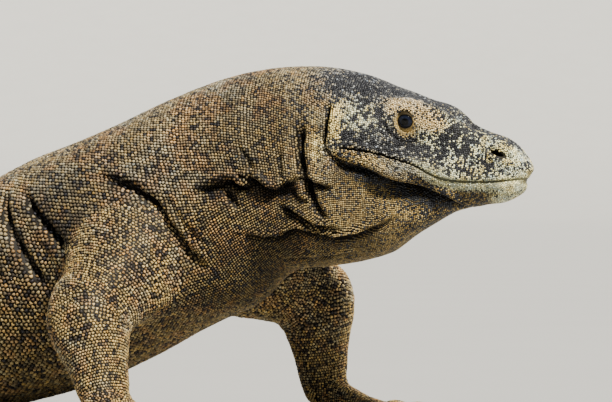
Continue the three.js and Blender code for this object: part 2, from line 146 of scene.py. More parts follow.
# Folds of the loose skin on each side: points of distance from the snout tip and degrees round
# from the top, then half width, depth, height of the lip on the right of the path as it is seen
# from outside the right flank, and how far the skin sinks on its other side.
CREASES = {
    "ear_slit": ([(181, 79), (179, 66), (177.5, 56), (177, 46)], 1.8, 7.0, 2.2, 2.2),
    "below_ear": ([(181, 79), (178.5, 84), (171, 89), (163, 93)], 2.4, 4.5, 1.0, 1.0),
    "jaw_edge": (
        [(53, 168), (66.5, 144), (84.5, 131), (112, 117), (137.5, 102.5), (161.5, 95.5), (176, 89)],
        *(3.8, 10.0, 2.4, 6.0),
    ),
    "behind_jaw": (
        [(198.5, 59.5), (201, 69.5), (202, 81.5), (202, 93.5), (199, 106), (197, 116.5), (192, 127)]
        + [(182, 136)],
        *(3.3, 11.0, 1.8, 0),
    ),
    "throat_fold": (
        [(207, 105), (216, 105), (224, 108.5), (232, 109), (242, 104), (249, 97)]
        + [(254.5, 102), (261.5, 101.5), (269, 95), (277, 96), (288, 95), (304, 97)],
        *(2.8, 11.0, 5.0, 6.0),
    ),
    "under_drape": ([(209, 109), (220, 113), (235, 112), (247, 106)], 3.4, 5.0, 0, 0),
    "throat_front": ([(176, 114), (190, 110), (199, 106), (211, 101)], 2.8, 7.0, 3.0, 3.0),
    "notch_1": ([(249.5, 97.5), (247, 86), (254, 74.5)], 2.2, 4.0, 0.9, 0),
    "notch_2": ([(222, 104.5), (221.5, 91.5), (220, 80.5)], 2.2, 3.2, 0.7, 0),
    "throat_branch": ([(275, 100), (272.5, 107), (270, 114)], 2.4, 5.5, 0.8, 0),
    "throat_middle": ([(201, 121.5), (210, 117.5), (218, 110.5)], 2.4, 3.6, 1.2, 0.8),
    "throat_upper": (
        [(171.5, 142.5), (190, 139), (203, 135), (212, 131), (220.5, 126), (230, 121)],
        *(2.8, 8.5, 3.4, 3.0),
    ),
    "throat_lower": (
        [(111.5, 143), (145, 147.5), (173.5, 149), (188, 146.5), (206, 142), (221.5, 138.5)]
        + [(238.5, 141), (259.5, 137), (273.5, 131.5)],
        *(3.0, 9.5, 4.0, 4.0),
    ),
    "under_throat": ([(150, 163), (185, 162), (215, 160), (250, 158)], 3.0, 3.2, 1.4, 1.2),
    "shoulder_front": (
        [(322, 138), (330, 126), (334, 114), (336, 102), (342, 89), (354, 79), (376, 67)],
        *(4.0, 13.0, 3.0, 0),
    ),
    "shoulder_edge": ([(313, 126), (320, 112), (325, 100), (331, 88)], 3.2, 2.6, 1.2, 0),
    "behind_shoulder": ([(450, 60), (441, 74), (430, 88), (422, 102)], 4.2, 9.0, 2.6, 0),
    "behind_shoulder_2": ([(477, 54), (473, 72), (465, 90), (458, 108)], 4.5, 7.0, 2.4, 0),
    "behind_shoulder_3": ([(506, 56), (502, 76), (495, 98)], 5.0, 5.5, 2.0, 0),
    "flank": ([(520, 108), (600, 112), (700, 110), (800, 112), (880, 108)], 7.0, 3.8, 2.0, 1.5),
    "groin": ([(990, 64), (1002, 80), (1006, 96)], 5.0, 5.0, 1.6, 0),
    "tail_base": ([(1150, 108), (1190, 100), (1240, 96)], 5.0, 2.4, 0.8, 0),
    "nape_1": ([(236, 16), (240, 40), (246, 62)], 4.0, 1.2, 0.7, 0),
    "nape_2": ([(292, 14), (298, 42), (306, 66)], 5.0, 1.4, 0.8, 0),
    "brow_crease": ([(134, 44), (129, 57), (118, 66), (104, 66), (93, 58)], 1.5, 1.6, 0.5, 0),
    "cheek_1": ([(148, 74), (136, 76), (122, 75), (108, 74)], 1.8, 1.2, 0.5, 0),
    "cheek_2": ([(140, 80), (126, 81), (112, 80)], 1.5, 0.9, 0.4, 0),
}

FORELEGS = {
    -1: [(34, 58, 184), (26, 150, 112), (62, 172, 34)],
    1: [(36, 58, 180), (95, 158, 124), (98, 172, 36)],
}
HINDLEGS = {
    -1: [(4, 42, 84), (88, 158, 88), (26, 205, 32)],
    1: [(4, 42, 84), (70, 168, 90), (4, 210, 32)],
}
ARM_THICKNESS = [
    [(0, 58, 50), (0.4, 55, 47), (0.75, 43, 38), (1, 35, 32)],
    [(0, 34, 31), (0.25, 36, 32), (0.65, 28, 25), (1, 24, 20)],
]
LEG_THICKNESS = [
    [(0, 66, 56), (0.4, 64, 55), (0.75, 53, 47), (1, 40, 38)],
    [(0, 38, 36), (0.3, 41, 36), (0.7, 31, 27), (1, 25, 22)],
]
# Palm and sole: distance from the wrist or ankle, height, half width and half height.
PALM_ROWS = [(0, 30, 23, 19), (20, 21, 27, 17), (42, 12, 33, 13.5), (60, 9, 32, 10.5), (72, 6, 20, 6)]
SOLE_ROWS = [(0, 29, 23, 20), (24, 20, 28, 17), (52, 12.5, 34, 14), (74, 9.5, 33, 11), (88, 6, 21, 6)]
HAND_TURN = {-1: 8, 1: 14}
FOOT_TURN = {-1: 24, 1: 26}
# Toes, from the inner one out: degrees turned out, length, and start along and across the palm.
FINGERS = [(-44, 36, 44, -24), (-20, 48, 60, -17), (0, 52, 64, 0), (22, 48, 60, 17), (52, 38, 42, 25)]
TOES = [(-34, 38, 62, -23), (-14, 56, 74, -15), (4, 70, 77, 0), (22, 82, 73, 15), (62, 54, 34, 27)]
TOE_RADIUS = 9.0
SOLE_HEIGHT = COAT * 0.6  # of the skin under a foot
GAP = 0.36  # between a toe and its claw
CLAW_LENGTH = 27.0
CLAW_RADIUS = 5.0
CLAW_RISE = 4.5

LEG_NODES = ("upper_arm", "forearm", "hand", "thigh", "shin", "foot")

FLESH = (
    ["head", "lower_jaw", "throat", "neck", "chest", "belly", "hips"]
    + [f"tail_{i}" for i in range(1, 6)]
    + [f"{part}_{side}" for part in LEG_NODES for side in ("left", "right")]
)
SIDE_NAME = {-1: "right", 1: "left"}


# ---- Shapes of the body, as functions of whole arrays ----


def through(rows, key):
    """A smooth curve through rows of (key, value, ...): cubic Hermite pieces whose slope at each
    row is that of the line joining its two neighbours."""
    rows = np.asarray(rows, float)
    key = np.asarray(key, float)
    last = len(rows) - 1
    before = np.maximum(np.arange(last + 1) - 1, 0)
    after = np.minimum(np.arange(last + 1) + 1, last)
    slope = (rows[after] - rows[before]) / (rows[after, 0] - rows[before, 0])[:, None]
    i = np.clip(np.searchsorted(rows[:, 0], key, side="right") - 1, 0, last - 1)
    span = (rows[i + 1, 0] - rows[i, 0])[..., None]
    t = np.clip((key - rows[i, 0])[..., None] / span, 0, 1)
    return (
        (2 * t**3 - 3 * t**2 + 1) * rows[i]
        + (t**3 - 2 * t**2 + t) * span * slope[i]
        + (3 * t**2 - 2 * t**3) * rows[i + 1]
        + (t**3 - t**2) * span * slope[i + 1]
    )


def bell(value, centre, width):
    """exp of minus the square of how many widths the value is from the centre."""
    return np.exp(-(((value - centre) / width) ** 2))


def spot(s, degrees, at, round_to, long, wide):
    """A place on the body with soft edges: a bell along it times a bell round it."""
    return bell(s, at, long) * bell(degrees, round_to, wide)


def ramp(value, start, end):
    """Nought at start, one at end, and a straight line between; end may be the lower one."""
    return np.clip((value - start) / (end - start), 0, 1)


def unit(vectors):
    """Each vector divided by its length."""
    return vectors / np.maximum(np.linalg.norm(vectors, axis=-1, keepdims=True), 1e-9)


def level_ways(turn):
    """The level directions ahead and to the left of something that faces turn radians left of +X."""
    return np.array([math.cos(turn), math.sin(turn), 0]), np.array([-math.sin(turn), math.cos(turn), 0])


def circle(count):
    """Evenly spaced angles round a full turn."""
    return np.linspace(0, 2 * math.pi, count, endpoint=False)


STEP = 2.0  # along the spine, in millimetres


def walk_spine():
    """The centre line as a running sum of short steps backwards from the snout, each along the
    way the body faces and up or down by the change of the centre's height."""
    s = np.arange(0, LENGTH + STEP / 2, STEP)
    height = through(BODY, s)[:, 1]
    ahead_height = through(BODY, s + STEP)[:, 1]
    behind_height = through(BODY, np.maximum(s - STEP, 0))[:, 1]
    climb = (ahead_height - behind_height) / np.where(s > 0, 2 * STEP, STEP)
    turn = through(FACING, s)[:, 1] * DEGREE
    level = np.sqrt(1 - climb**2)
    ahead = np.stack([np.cos(turn) * level, np.sin(turn) * level, -climb], -1)
    left = np.stack([-np.sin(turn), np.cos(turn), 0 * turn], -1)
    centre = np.zeros((len(s), 3))
    centre[1:, :2] = -np.cumsum(ahead[:-1, :2] * STEP, 0)
    centre[:, 2] = height
    centre[:, :2] -= centre[int(round(SHOULDER / STEP)), :2]
    return s, centre, ahead, left, np.cross(ahead, left)


SPINE_S, SPINE_CENTRE, SPINE_AHEAD, SPINE_LEFT, SPINE_UP = walk_spine()


def along_spine(values, s):
    """Values kept at each step of the spine, read between steps in straight lines."""
    return np.stack([np.interp(s, SPINE_S, values[:, k]) for k in range(3)], -1)


def body_radius(s, turn):
    """Distance from the centre line to the surface: a superellipse with its own reach above and
    below, rounded off at the snout by another superellipse, plus a bell-shaped bump for each
    swelling."""
    row = through(BODY, s)
    width, above, below, square = row[..., 2], row[..., 3], row[..., 4], row[..., 5]
    nearness = np.clip(1 - s / NOSE_LENGTH, 0, 1)
    nose = (1 - nearness**NOSE_SQUARENESS) ** (1 / NOSE_SQUARENESS)
    side = np.abs(np.sin(turn)) / width
    tall = np.abs(np.cos(turn)) / np.where(np.cos(turn) > 0, above, below)
    radius = nose * (side**square + tall**square) ** (-1 / square)
    degrees = np.abs(turn) / DEGREE
    for at, round_to, long, wide, high in SWELLINGS.values():
        across = (degrees - round_to) * DEGREE * radius / wide
        radius = radius + nose * high * bell(s, at, long) * bell(across, 0, 1)
    return radius


def place_on_body(s, turn, radius):
    """Centre line plus radius times the direction that is turn round from the top."""
    across = (np.sin(turn) * radius)[..., None] * along_spine(SPINE_LEFT, s)
    upward = (np.cos(turn) * radius)[..., None] * along_spine(SPINE_UP, s)
    return along_spine(SPINE_CENTRE, s) + across + upward


SNOUT_TIP = SPINE_CENTRE[0]
HEAD_AHEAD = level_ways(HEAD_TURN * DEGREE)[0]

LIP_HOLLOW = 16.0  # how far the skin sinks away from the open side of a fold


def above_mouth(points):
    """Height of each point over the mouth line at the same distance back from the snout tip."""
    back = (SNOUT_TIP - points) @ HEAD_AHEAD
    return points[..., 2] - through(MOUTH, back)[..., 1], back


def crease_depth(s, turn, radius, path, half_width, depth, lip, sink):
    """A fold along a smooth path: minus depth times a bell curve of the distance to it, a low
    bell for the lip on one side, and on the other side a wide and shallow hollow. All of it
    fades towards the path's ends."""
    keyed = [(i, *p) for i, p in enumerate(path)]
    route = through(keyed, np.linspace(0, len(path) - 1, 18))[:, 1:]
    flat = s.ravel()
    reach = 4.0 * half_width + (24 if sink else 0)
    near = (flat > route[:, 0].min() - reach) & (flat < route[:, 0].max() + reach)
    out = np.zeros(flat.shape)
    x, y, r = flat[near], (radius * np.abs(turn)).ravel()[near], radius.ravel()[near]
    best = np.full(x.shape, 1e9)
    share = np.zeros(x.shape)
    side = np.zeros(x.shape)
    pieces = len(route) - 1
    for i in range(pieces):
        ax, bx = route[i, 0], route[i + 1, 0]
        ay, by = route[i, 1] * DEGREE * r, route[i + 1, 1] * DEGREE * r
        dx, dy = bx - ax, by - ay
        t = np.clip(((x - ax) * dx + (y - ay) * dy) / (dx**2 + dy**2 + 1e-9), 0, 1)
        gone = np.hypot(x - ax - t * dx, y - ay - t * dy)
        closer = gone < best
        best = np.where(closer, gone, best)
        share = np.where(closer, (i + t) / pieces, share)
        side = np.where(closer, np.sign(dx * (y - ay) - dy * (x - ax)), side)
    fade = np.clip(np.minimum(share, 1 - share) * 6 + 0.1, 0, 1)
    wobble = 1 + 0.2 * np.sin(share * 23 + depth)
    groove = -depth * wobble * bell(best, 0, half_width)
    lips = lip * bell(best, 2.0 * half_width, 1.3 * half_width)
    hollow = -sink * bell(best, 0, LIP_HOLLOW) * (1 - np.exp(-best / 1.2))
    out[near] = fade * (groove + np.where(side < 0, lips, 0.3 * lips + hollow))
    return out.reshape(s.shape)


# The face's relief. The mouth's groove: depth, how much deeper it gets towards the corner, and
# half width. Rolls of lip beside it: height over the mouth line and half width.
MOUTH_GROOVE = (3.0, 1.0, 1.15)
LIP_ROLLS = ((4.2, 2.9), (-4.0, 2.7))
LIP_SIZE = 0.9
NOSTRIL_DISH = (8.2, 3.9)  # half length and half height
EYE_PIT = 6.0  # its radius
# How high, and then a spot for the ridges before and behind the ear.
EAR_RIDGES = ((3.0, (171, 62, 4.2, 16)), (1.0, (185, 62, 3.5, 14)))
CHEEK = (124, 74, 18, 9)
SNOUT_SIDE = (55, 55, 55, 40)


def mouth_relief(height, back):
    """A narrow groove, deeper towards the corner, and a low roll of lip on each side of it."""
    depth, deeper, half_width = MOUTH_GROOVE
    groove = -(depth + deeper * ramp(back, 95, 155)) * bell(height, 0, half_width)
    rolls = sum(LIP_SIZE * bell(height, *roll) for roll in LIP_ROLLS)
    return ramp(back, MOUTH_END, MOUTH_END - 10) * (groove + rolls)


def nostril_relief(s, degrees, arc):
    """A slanted oval dish with a raised rim."""
    across, down = nostril_axes(s - NOSTRIL_AT, (degrees - NOSTRIL_TURN) * arc)
    oval = np.hypot(across / NOSTRIL_DISH[0], down / NOSTRIL_DISH[1])
    return -2.2 / (1 + oval**5) + 1.5 * bell(oval, 1.55, 0.42)


def eye_relief(s, degrees, arc):
    """A round pit, raised skin round it that is fuller above, and rings of slack skin below."""
    eye = np.hypot(s - EYE_AT, (degrees - EYE_TURN) * arc)
    pit = -6.5 / (1 + (eye / EYE_PIT) ** 12)
    raised = (1.9 + 0.7 * ramp(degrees, EYE_TURN, EYE_TURN - 6)) * bell(eye, 8.3, 2.4)
    rings = 0.75 * np.cos((eye - 10.4) * 2 * math.pi / 3.4) * bell(eye, 15, 4.5)
    below = ramp(degrees, EYE_TURN - 3, EYE_TURN + 6) * ramp(s, 88, 100)
    return pit + raised + (0.9 * bell(eye, 10.2, 2.2) + rings) * below


def face_relief(s, turn, radius, points):
    """The sum of lips, nostrils, eye pits, plump ridges round the ear, ripples on the cheek,
    streaks along the jaw and low knobs on the snout."""
    height, back = above_mouth(points)
    degrees = np.abs(turn) / DEGREE
    arc = radius * DEGREE
    ripples = np.sin(s / 2.3 + 1.4 * np.sin(degrees / 5))
    streaks = np.sin(height * 1.35 + s / 26)
    knobs = value_noise(np.stack([s, np.abs(turn) * radius, 0 * s], -1), 8.0, 9) - 0.5
    return (
        mouth_relief(height, back) * (s < 215)
        + nostril_relief(s, degrees, arc)
        + eye_relief(s, degrees, arc)
        + sum(high * spot(s, degrees, *place) for high, place in EAR_RIDGES)
        + 0.5 * ripples * spot(s, degrees, *CHEEK)
        + 0.55 * streaks * jaw_share(s, height, back)
        + 1.5 * knobs * spot(s, degrees, *SNOUT_SIDE)
    )


def nostril_axes(back, down):
    """Distances along a nostril and across it, which slopes down towards the snout tip."""
    cos, sin = math.cos(NOSTRIL_LEAN), math.sin(NOSTRIL_LEAN)
    return back * cos - down * sin, back * sin + down * cos


def loose_skin(s, turn, radius):
    """Low waves that break the smooth form: rings round the neck and tail, and folds that
    gather between the shoulder and the belly, all from sine waves faded by bells."""
    degrees = np.abs(turn) / DEGREE
    arc = radius * turn
    neck = 0.7 * np.sin(s / 3.6 + 0.9 * np.sin(arc / 21)) * spot(s, degrees, 285, 85, 70, 50)
    throat = 0.9 * np.sin(s / 9.0 + arc / 26) * spot(s, degrees, 240, 132, 80, 26)
    folds = 1.6 * np.sin(s / 12.5 + 1.3 * np.sin(arc / 47) + 0.6 * np.sin(s / 41))
    trunk = folds * spot(s, degrees, 700, 92, 260, 34)
    tail = 0.35 * np.sin(s / 4.6) * ramp(s, 1150, 1250)
    return neck + throat + trunk + tail


def on_floor(points):
    """The points, with none of them lower than the skin under a foot."""
    points[..., 2] = np.maximum(points[..., 2], SOLE_HEIGHT)
    return points


def body_surface(s, turn):
    """The finished skin of head, neck, trunk and tail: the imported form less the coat's depth,
    plus creases, face relief, loose folds, and a fillet where each leg meets it."""
    s, turn = np.broadcast_arrays(np.asarray(s, float), np.asarray(turn, float))
    radius = body_radius(s, turn)
    plain = place_on_body(s, turn, radius)
    change = np.full(s.shape, -COAT)
    uneven = s + 2.5 * (turn > 0)
    for fold in CREASES.values():
        change = change + crease_depth(uneven, turn, radius, *fold)
    on_face = s < FACE_END
    change[on_face] += face_relief(s[on_face], turn[on_face], radius[on_face], plain[on_face])
    change = change + loose_skin(s, turn, radius)
    change = change * np.where(s < 6, np.clip(s / 6.0, 0.25, 1), 1)
    near_leg = (s > LEG_REACH[0]) & (s < LEG_REACH[1])
    free = fillet_share(s[near_leg], turn[near_leg])
    for leg in LEGS:
        apart = segment_distance(plain[near_leg], leg.segments[0])
        change[near_leg] += free * fillet(apart, leg.blend)
    points = place_on_body(s, turn, np.maximum(radius + change, 0.2))
    return on_floor(points + snout_lead(s, points[..., 2])[..., None] * HEAD_AHEAD)


def snout_lead(s, height):
    """How far the tip juts out: full above the mouth, drawn in under the upper lip, and full
    again at the chin."""
    over = 4.8 * ramp(height, 240, 249) * bell(height, 256, 14)
    under = 6.0 * bell(height, 229, 6.5) - 1.5 * bell(height, 238.5, 2.2)
    return over * ramp(s, 30, 0) ** 2 + under * ramp(s, 44, 0)


def fillet(apart, blend):
    """How far a surface swells where it nears another: a quarter of blend at contact, falling
    as a square to nothing at a distance of blend."""
    return blend / 4 * np.clip(1 - np.maximum(apart, 0) / blend, 0, 1) ** 2


def fillet_share(s, turn):
    """How much of a leg's fillet is left: little at the fold in front of the shoulder."""
    return 1 - 0.9 * spot(s, np.abs(turn) / DEGREE, 345, 104, 26, 32)


# ---- Legs ----


class Segment:
    """One straight part of a leg: its start, its direction, and its two half widths by share of
    its length, measured in the plane that the leg bends in and across it."""

    def __init__(self, start, end, hinge, thickness):
        self.start = start
        self.along = end - start
        self.length = np.linalg.norm(self.along)
        self.ahead = self.along / self.length
        self.across = unit(hinge - (hinge @ self.ahead) * self.ahead)
        self.in_bend = np.cross(self.across, self.ahead)
        self.thickness = thickness

    def half_widths(self, share):
        """Both half widths at a share of the length, less the depth of the coat."""
        row = through(self.thickness, share)
        return row[..., 1] - COAT, row[..., 2] - COAT


def segment_surface(segment, v, turn):
    """A leg part: ellipses square to its axis, closed by half an ellipsoid at each end. v runs
    from -1 at the start's pole through 0..1 along the shaft to 2 at the far pole."""
    share = np.clip(v, 0, 1)
    half_a, half_b = segment.half_widths(share)
    cap = (v - share) * math.pi / 2
    centre = segment.start + share[..., None] * segment.along
    centre = centre + (np.sin(cap) * half_a)[..., None] * segment.ahead
    ring = (np.cos(turn) * half_a)[..., None] * segment.in_bend
    ring = ring + (np.sin(turn) * half_b)[..., None] * segment.across
    return centre + np.cos(cap)[..., None] * ring


def segment_distance(points, segment):
    """Rough distance to a leg part's surface: how far out along the ray from its axis, negative
    inside."""
    rel = points - segment.start
    share = np.clip(rel @ segment.ahead / segment.length, 0, 1)
    half_a, half_b = segment.half_widths(share)
    rel = rel - share[..., None] * segment.along
    out = np.linalg.norm(rel, axis=-1) + 1e-9
    scaled = np.sqrt(
        (rel @ segment.in_bend / half_a) ** 2
        + (rel @ segment.across / half_b) ** 2
        + (rel @ segment.ahead / half_a) ** 2
    )
    return out * (1 - 1 / (scaled + 1e-9))


def body_place(points):
    """Distance from the snout tip, turn from the top and distance from the centre line of any
    points, by the nearest step of the spine and then along its direction there."""
    flat = points.reshape(-1, 3)
    coarse = np.arange(0, len(SPINE_S), 4)
    nearest = np.empty(len(flat), int)
    for chunk in np.array_split(np.arange(len(flat)), len(flat) // 4000 + 1):
        gaps = flat[chunk][:, None] - SPINE_CENTRE[coarse][None]
        nearest[chunk] = coarse[np.argmin((gaps**2).sum(-1), 1)]
    rel = flat - SPINE_CENTRE[nearest]
    s = np.clip(SPINE_S[nearest] - (rel * SPINE_AHEAD[nearest]).sum(-1), 0, LENGTH)
    rel = flat - along_spine(SPINE_CENTRE, s)
    side = (rel * along_spine(SPINE_LEFT, s)).sum(-1)
    top = (rel * along_spine(SPINE_UP, s)).sum(-1)
    shape = points.shape[:-1]
    return s.reshape(shape), np.arctan2(side, top).reshape(shape), np.hypot(side, top).reshape(shape)


class Leg:
    """A leg's joints, its two straight parts, and the palm and toes that it ends in."""

    def __init__(self, side, hind):
        self.side = side
        self.hind = hind
        root = HIPS if hind else SHOULDER
        facing = float(through(FACING, root)[1]) * DEGREE
        ahead, left = level_ways(facing)
        rows = np.array((HINDLEGS if hind else FORELEGS)[side], float)
        centre = along_spine(SPINE_CENTRE, np.array(root))
        self.places = centre * [1, 1, 0] + rows[:, :1] * ahead + rows[:, 1:2] * (left * side)
        self.places[:, 2] = rows[:, 2]
        first, joint, last = self.places
        hinge = unit(np.cross(joint - first, last - joint))
        upper, lower = LEG_THICKNESS if hind else ARM_THICKNESS
        self.segments = [Segment(first, joint, hinge, upper), Segment(joint, last, hinge, lower)]
        self.blend = 44.0 if hind else 36.0
        self.turn = facing + side * (FOOT_TURN if hind else HAND_TURN)[side] * DEGREE
        self.palm_rows = SOLE_ROWS if hind else PALM_ROWS
        self.digits = TOES if hind else FINGERS
        self.name = ("foot" if hind else "hand") + "_" + SIDE_NAME[side]


LEGS = [Leg(side, hind) for hind in (False, True) for side in (-1, 1)]


def floor_bar(start, facing, rows, share, turn):
    """A rounded bar along the floor: upright ellipses whose height and half widths follow the
    rows by share of the bar's length, closed at both ends by a quick fall to a point."""
    share, turn = np.broadcast_arrays(np.asarray(share, float), np.asarray(turn, float))
    first, last = rows[0][0], rows[-1][0]
    row = through(rows, first + np.clip(share, 0, 1) * (last - first))
    beyond = (share - np.clip(share, 0, 1)) * 10
    size = np.sqrt(np.clip(1 - beyond**2, 0, 1))
    wide = np.maximum(row[..., 2] - COAT, 0.3) * size
    tall = np.maximum(row[..., 3] - COAT, 0.3) * size
    reach = row[..., 0] + beyond * np.minimum(row[..., 2], row[..., 3]) * 0.8
    ahead, left = level_ways(facing)
    points = start * [1, 1, 0] + reach[..., None] * ahead
    points = points + (np.cos(turn) * wide)[..., None] * left
    points[..., 2] = row[..., 1] + np.sin(turn) * tall
    return points


def toe_spec(leg, digit):
    """Where a toe starts, which way it points, and its rows of distance, height, half width and
    half height, with a knuckle part way along and a pad under the claw."""
    splay, reach, far, out = digit
    ahead, left = level_ways(leg.turn)
    knuckle = leg.places[2] * [1, 1, 0] + far * ahead + out * (left * leg.side)
    r = TOE_RADIUS
    rows = [
        (-10, r, r * 0.8, r * 0.8),
        (reach * 0.2, r * 1.15, r, r * 1.1),
        (reach * 0.45, r * 1.0, r * 0.86, r * 0.94),
        (reach * 0.72, r * 1.0, r * 0.9, r * 1.02),
        (reach, r * 0.88, r * 0.56, r * 0.66),
    ]
    return knuckle, leg.turn + leg.side * splay * DEGREE, rows, reach


# ---- Meshes ----


def eye_frame(side):
    """The eyeball's centre, and the directions out of the head, back along it and up round it."""
    s = EYE_AT + np.array([0, 1, -1, 0, 0])
    turns = side * EYE_TURN * DEGREE + np.array([0, 0, 0, 0.01, -0.01])
    here, behind, ahead, one, other = place_on_body(s, turns, body_radius(s, turns))
    along = behind - ahead
    outward_way = unit(np.cross(one - other, along))
    if outward_way @ (here - along_spine(SPINE_CENTRE, EYE_AT)) < 0:
        outward_way = -outward_way
    along = unit(along - (along @ outward_way) * outward_way)
    up = np.cross(outward_way, along) * side
    return here - outward_way * EYE_DEPTH, outward_way, along, up if up[2] > 0 else -up


def round_axis(axis, along, up, angle, u):
    """Directions at an angle from an axis, turned by u from along towards up."""
    across = (np.sin(angle) * np.cos(u))[..., None] * along
    upward = (np.sin(angle) * np.sin(u))[..., None] * up
    return np.cos(angle)[..., None] * axis + across + upward


def packed_origin():
    """Where the animal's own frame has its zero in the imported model, in metres, from the eye."""
    low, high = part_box("eye_right")
    middle = (np.array(low) + np.array(high)) / 2
    return middle - eye_frame(-1)[0] / 1000


ORIGIN = packed_origin()


def grid_faces(rows, columns):
    """Quads of a grid of rows and columns, the columns closed into a ring."""
    r = np.arange(rows - 1)[:, None] * columns
    c = np.arange(columns)[None]
    after = (c + 1) % columns
    return np.stack([r + c, r + columns + c, r + columns + after, r + after], -1).reshape(-1, 4)


def halved(quads):
    """Two triangles for each quad."""
    return np.concatenate([quads[:, [0, 1, 2]], quads[:, [0, 2, 3]]])


def read(items, field, width, kind=np.float32):
    """One field of all the items of a mesh, as rows of width numbers."""
    values = np.empty(len(items) * width, kind)
    items.foreach_get(field, values)
    return values.reshape(-1, width)


def read_points(mesh):
    """Vertex places in the animal's millimetres."""
    return (read(mesh.vertices, "co", 3).astype(float) - ORIGIN) * 1000


def write_points(mesh, points):
    """Puts places in the animal's millimetres into a mesh's vertices."""
    mesh.vertices.foreach_set("co", (points / 1000 + ORIGIN).astype(np.float32).ravel())


def new_mesh(name, points, faces):
    """A smooth mesh object from points in the animal's millimetres and rows of vertex numbers,
    all faces with the same number of corners."""
    mesh = bpy.data.meshes.new(name)
    points = points.reshape(-1, 3)
    corners = faces.shape[1]
    mesh.vertices.add(len(points))
    write_points(mesh, points)
    mesh.loops.add(faces.size)
    mesh.loops.foreach_set("vertex_index", faces.ravel().astype(np.int32))
    mesh.polygons.add(len(faces))
    mesh.polygons.foreach_set("loop_start", np.arange(0, faces.size, corners, dtype=np.int32))
    mesh.update(calc_edges=True)
    mesh.polygons.foreach_set("use_smooth", np.ones(len(faces), bool))
    if mesh.validate():
        raise RuntimeError(f"{name} has faces that Blender had to mend")
    made = bpy.data.objects.new(name, mesh)
    bpy.context.scene.collection.objects.link(made)
    return made


def closed_tube(name, *grids):
    """A tube from grids of rings, each grid with as many columns as the one before or half as
    many: quads split in two between rings, three triangles for each column where the number
    halves, and a fan at each end round the mean of its end ring."""
    faces, base, last = [], 0, None
    for grid in grids:
        rows, columns = grid.shape[:2]
        faces.append(halved(grid_faces(rows, columns) + base))
        c = np.arange(columns)
        here, after = base + c, base + (c + 1) % columns
        if last is None:
            faces.append(np.stack([0 * c - 1, c, (c + 1) % columns], -1))
        else:
            low, far = last + 2 * c, last + (2 * c + 2) % (2 * columns)
            corners = ((low, here, low + 1), (low + 1, here, after), (low + 1, after, far))
            faces += [np.stack(corner, -1) for corner in corners]
        last = base + (rows - 1) * columns
        base += rows * columns
    faces.append(np.stack([0 * c - 2, last + (c + 1) % columns, last + c], -1))
    poles = np.stack([grids[-1][-1].mean(0), grids[0][0].mean(0)])
    points = np.concatenate([grid.reshape(-1, 3) for grid in grids] + [poles])
    return new_mesh(name, points, outward(points, np.concatenate(faces) % len(points)))


def outward(points, faces):
    """The faces, all turned over if the volume that they enclose comes out negative."""
    a, b, c = (points[faces[:, k]] - points.mean(0) for k in range(3))
    return faces if np.einsum("ij,ij->i", a, np.cross(b, c)).sum() > 0 else faces[:, ::-1]


def mouth_turn(s):
    """How far round from the top the mouth line lies at each distance from the snout tip: the
    turn where the height over it is nearest nought, smoothed over five rows, and led to the side
    of the neck behind the jaw."""
    turns = np.linspace(40, 176, 273) * DEGREE
    grid_s, grid_turn = np.meshgrid(s, turns, indexing="ij")
    points = place_on_body(grid_s, grid_turn, body_radius(grid_s, grid_turn))
    found = turns[np.argmin(np.abs(above_mouth(points)[0]), 1)]
    settle = ramp(s, 165, 225)
    found = found * (1 - settle) + 84 * DEGREE * settle
    found = np.where(s < 2.0, 118 * DEGREE, found)
    padded = np.concatenate([found[:1]] * 2 + [found] + [found[-1:]] * 2)
    return np.convolve(padded, np.array([1, 2, 3, 2, 1]) / 9, "valid")


def body_grids():
    """Two grids of distance along the body and turn round it: rows closest together on the face
    and neck, with columns that crowd towards the mouth line and follow it, and then fewer of
    both for the trunk and tail."""
    coarse = 1
    tip = [0.04, 0.3, 0.8, 1.6, 2.6, 3.8]
    front = [*tip, *np.arange(5, 206, 1.25 * coarse), *np.arange(206, 480, 2.0 * coarse)]
    rear = [*np.arange(480, 1190, 9.0 * coarse), *np.arange(1190, LENGTH - 8, 20.0 * coarse), LENGTH - 0.5]
    rows = np.array(front + rear)
    crowd = 0.45
    t = np.linspace(0, 1, 52 // coarse + 1)
    upper = (1 - crowd) * t + crowd * (1 - (1 - t) ** 2)
    t = np.linspace(0, 1, 44 // coarse + 1)[1:]
    lower = (1 - crowd) * t + crowd * t**2
    line = mouth_turn(rows)[:, None]
    half = np.concatenate([upper * line, line + lower * (math.pi - line)], 1)
    turns = np.concatenate([half, -half[:, -2:0:-1]], 1)
    s = np.broadcast_to(rows[:, None], turns.shape)
    split = len(front)
    return (s[:split], turns[:split]), (s[split:, ::2], turns[split:, ::2])


def limb_meshes(leg):
    """The closed surfaces that one leg is joined from: two straight parts, a palm and toes, each
    swollen where it meets the next."""
    first_cap, last_cap = np.linspace(-0.97, 0, 9)[:-1], np.linspace(0, 0.97, 9)[1:] + 1
    shaft = np.concatenate([first_cap, np.linspace(0, 1, 34), last_cap])[:, None]
    heel, ball = [-0.098, -0.08, -0.05, -0.02], [1.02, 1.05, 1.08, 1.098]
    palm = np.concatenate([heel, np.linspace(0, 1, 26), ball])[:, None]
    toe = np.concatenate([[-0.098, -0.06], np.linspace(0, 1, 16), [1.03, 1.06, 1.09]])[:, None]
    made = [closed_tube(f"{leg.name}_part_{i}", leg_surface(leg, i, shaft, circle(40))) for i in (0, 1)]
    made.append(closed_tube(f"{leg.name}_palm", palm_surface(leg, palm, circle(32))))
    for digit in leg.digits:
        made.append(closed_tube(f"{leg.name}_toe", toe_surface(leg, digit, toe, circle(14))))
    return made


def push_out(points, other_apart, blend, origin, free=1.0):
    """Points moved away from origin by the fillet for their distance to the other surface."""
    return points + (free * fillet(other_apart, blend))[..., None] * unit(points - origin)


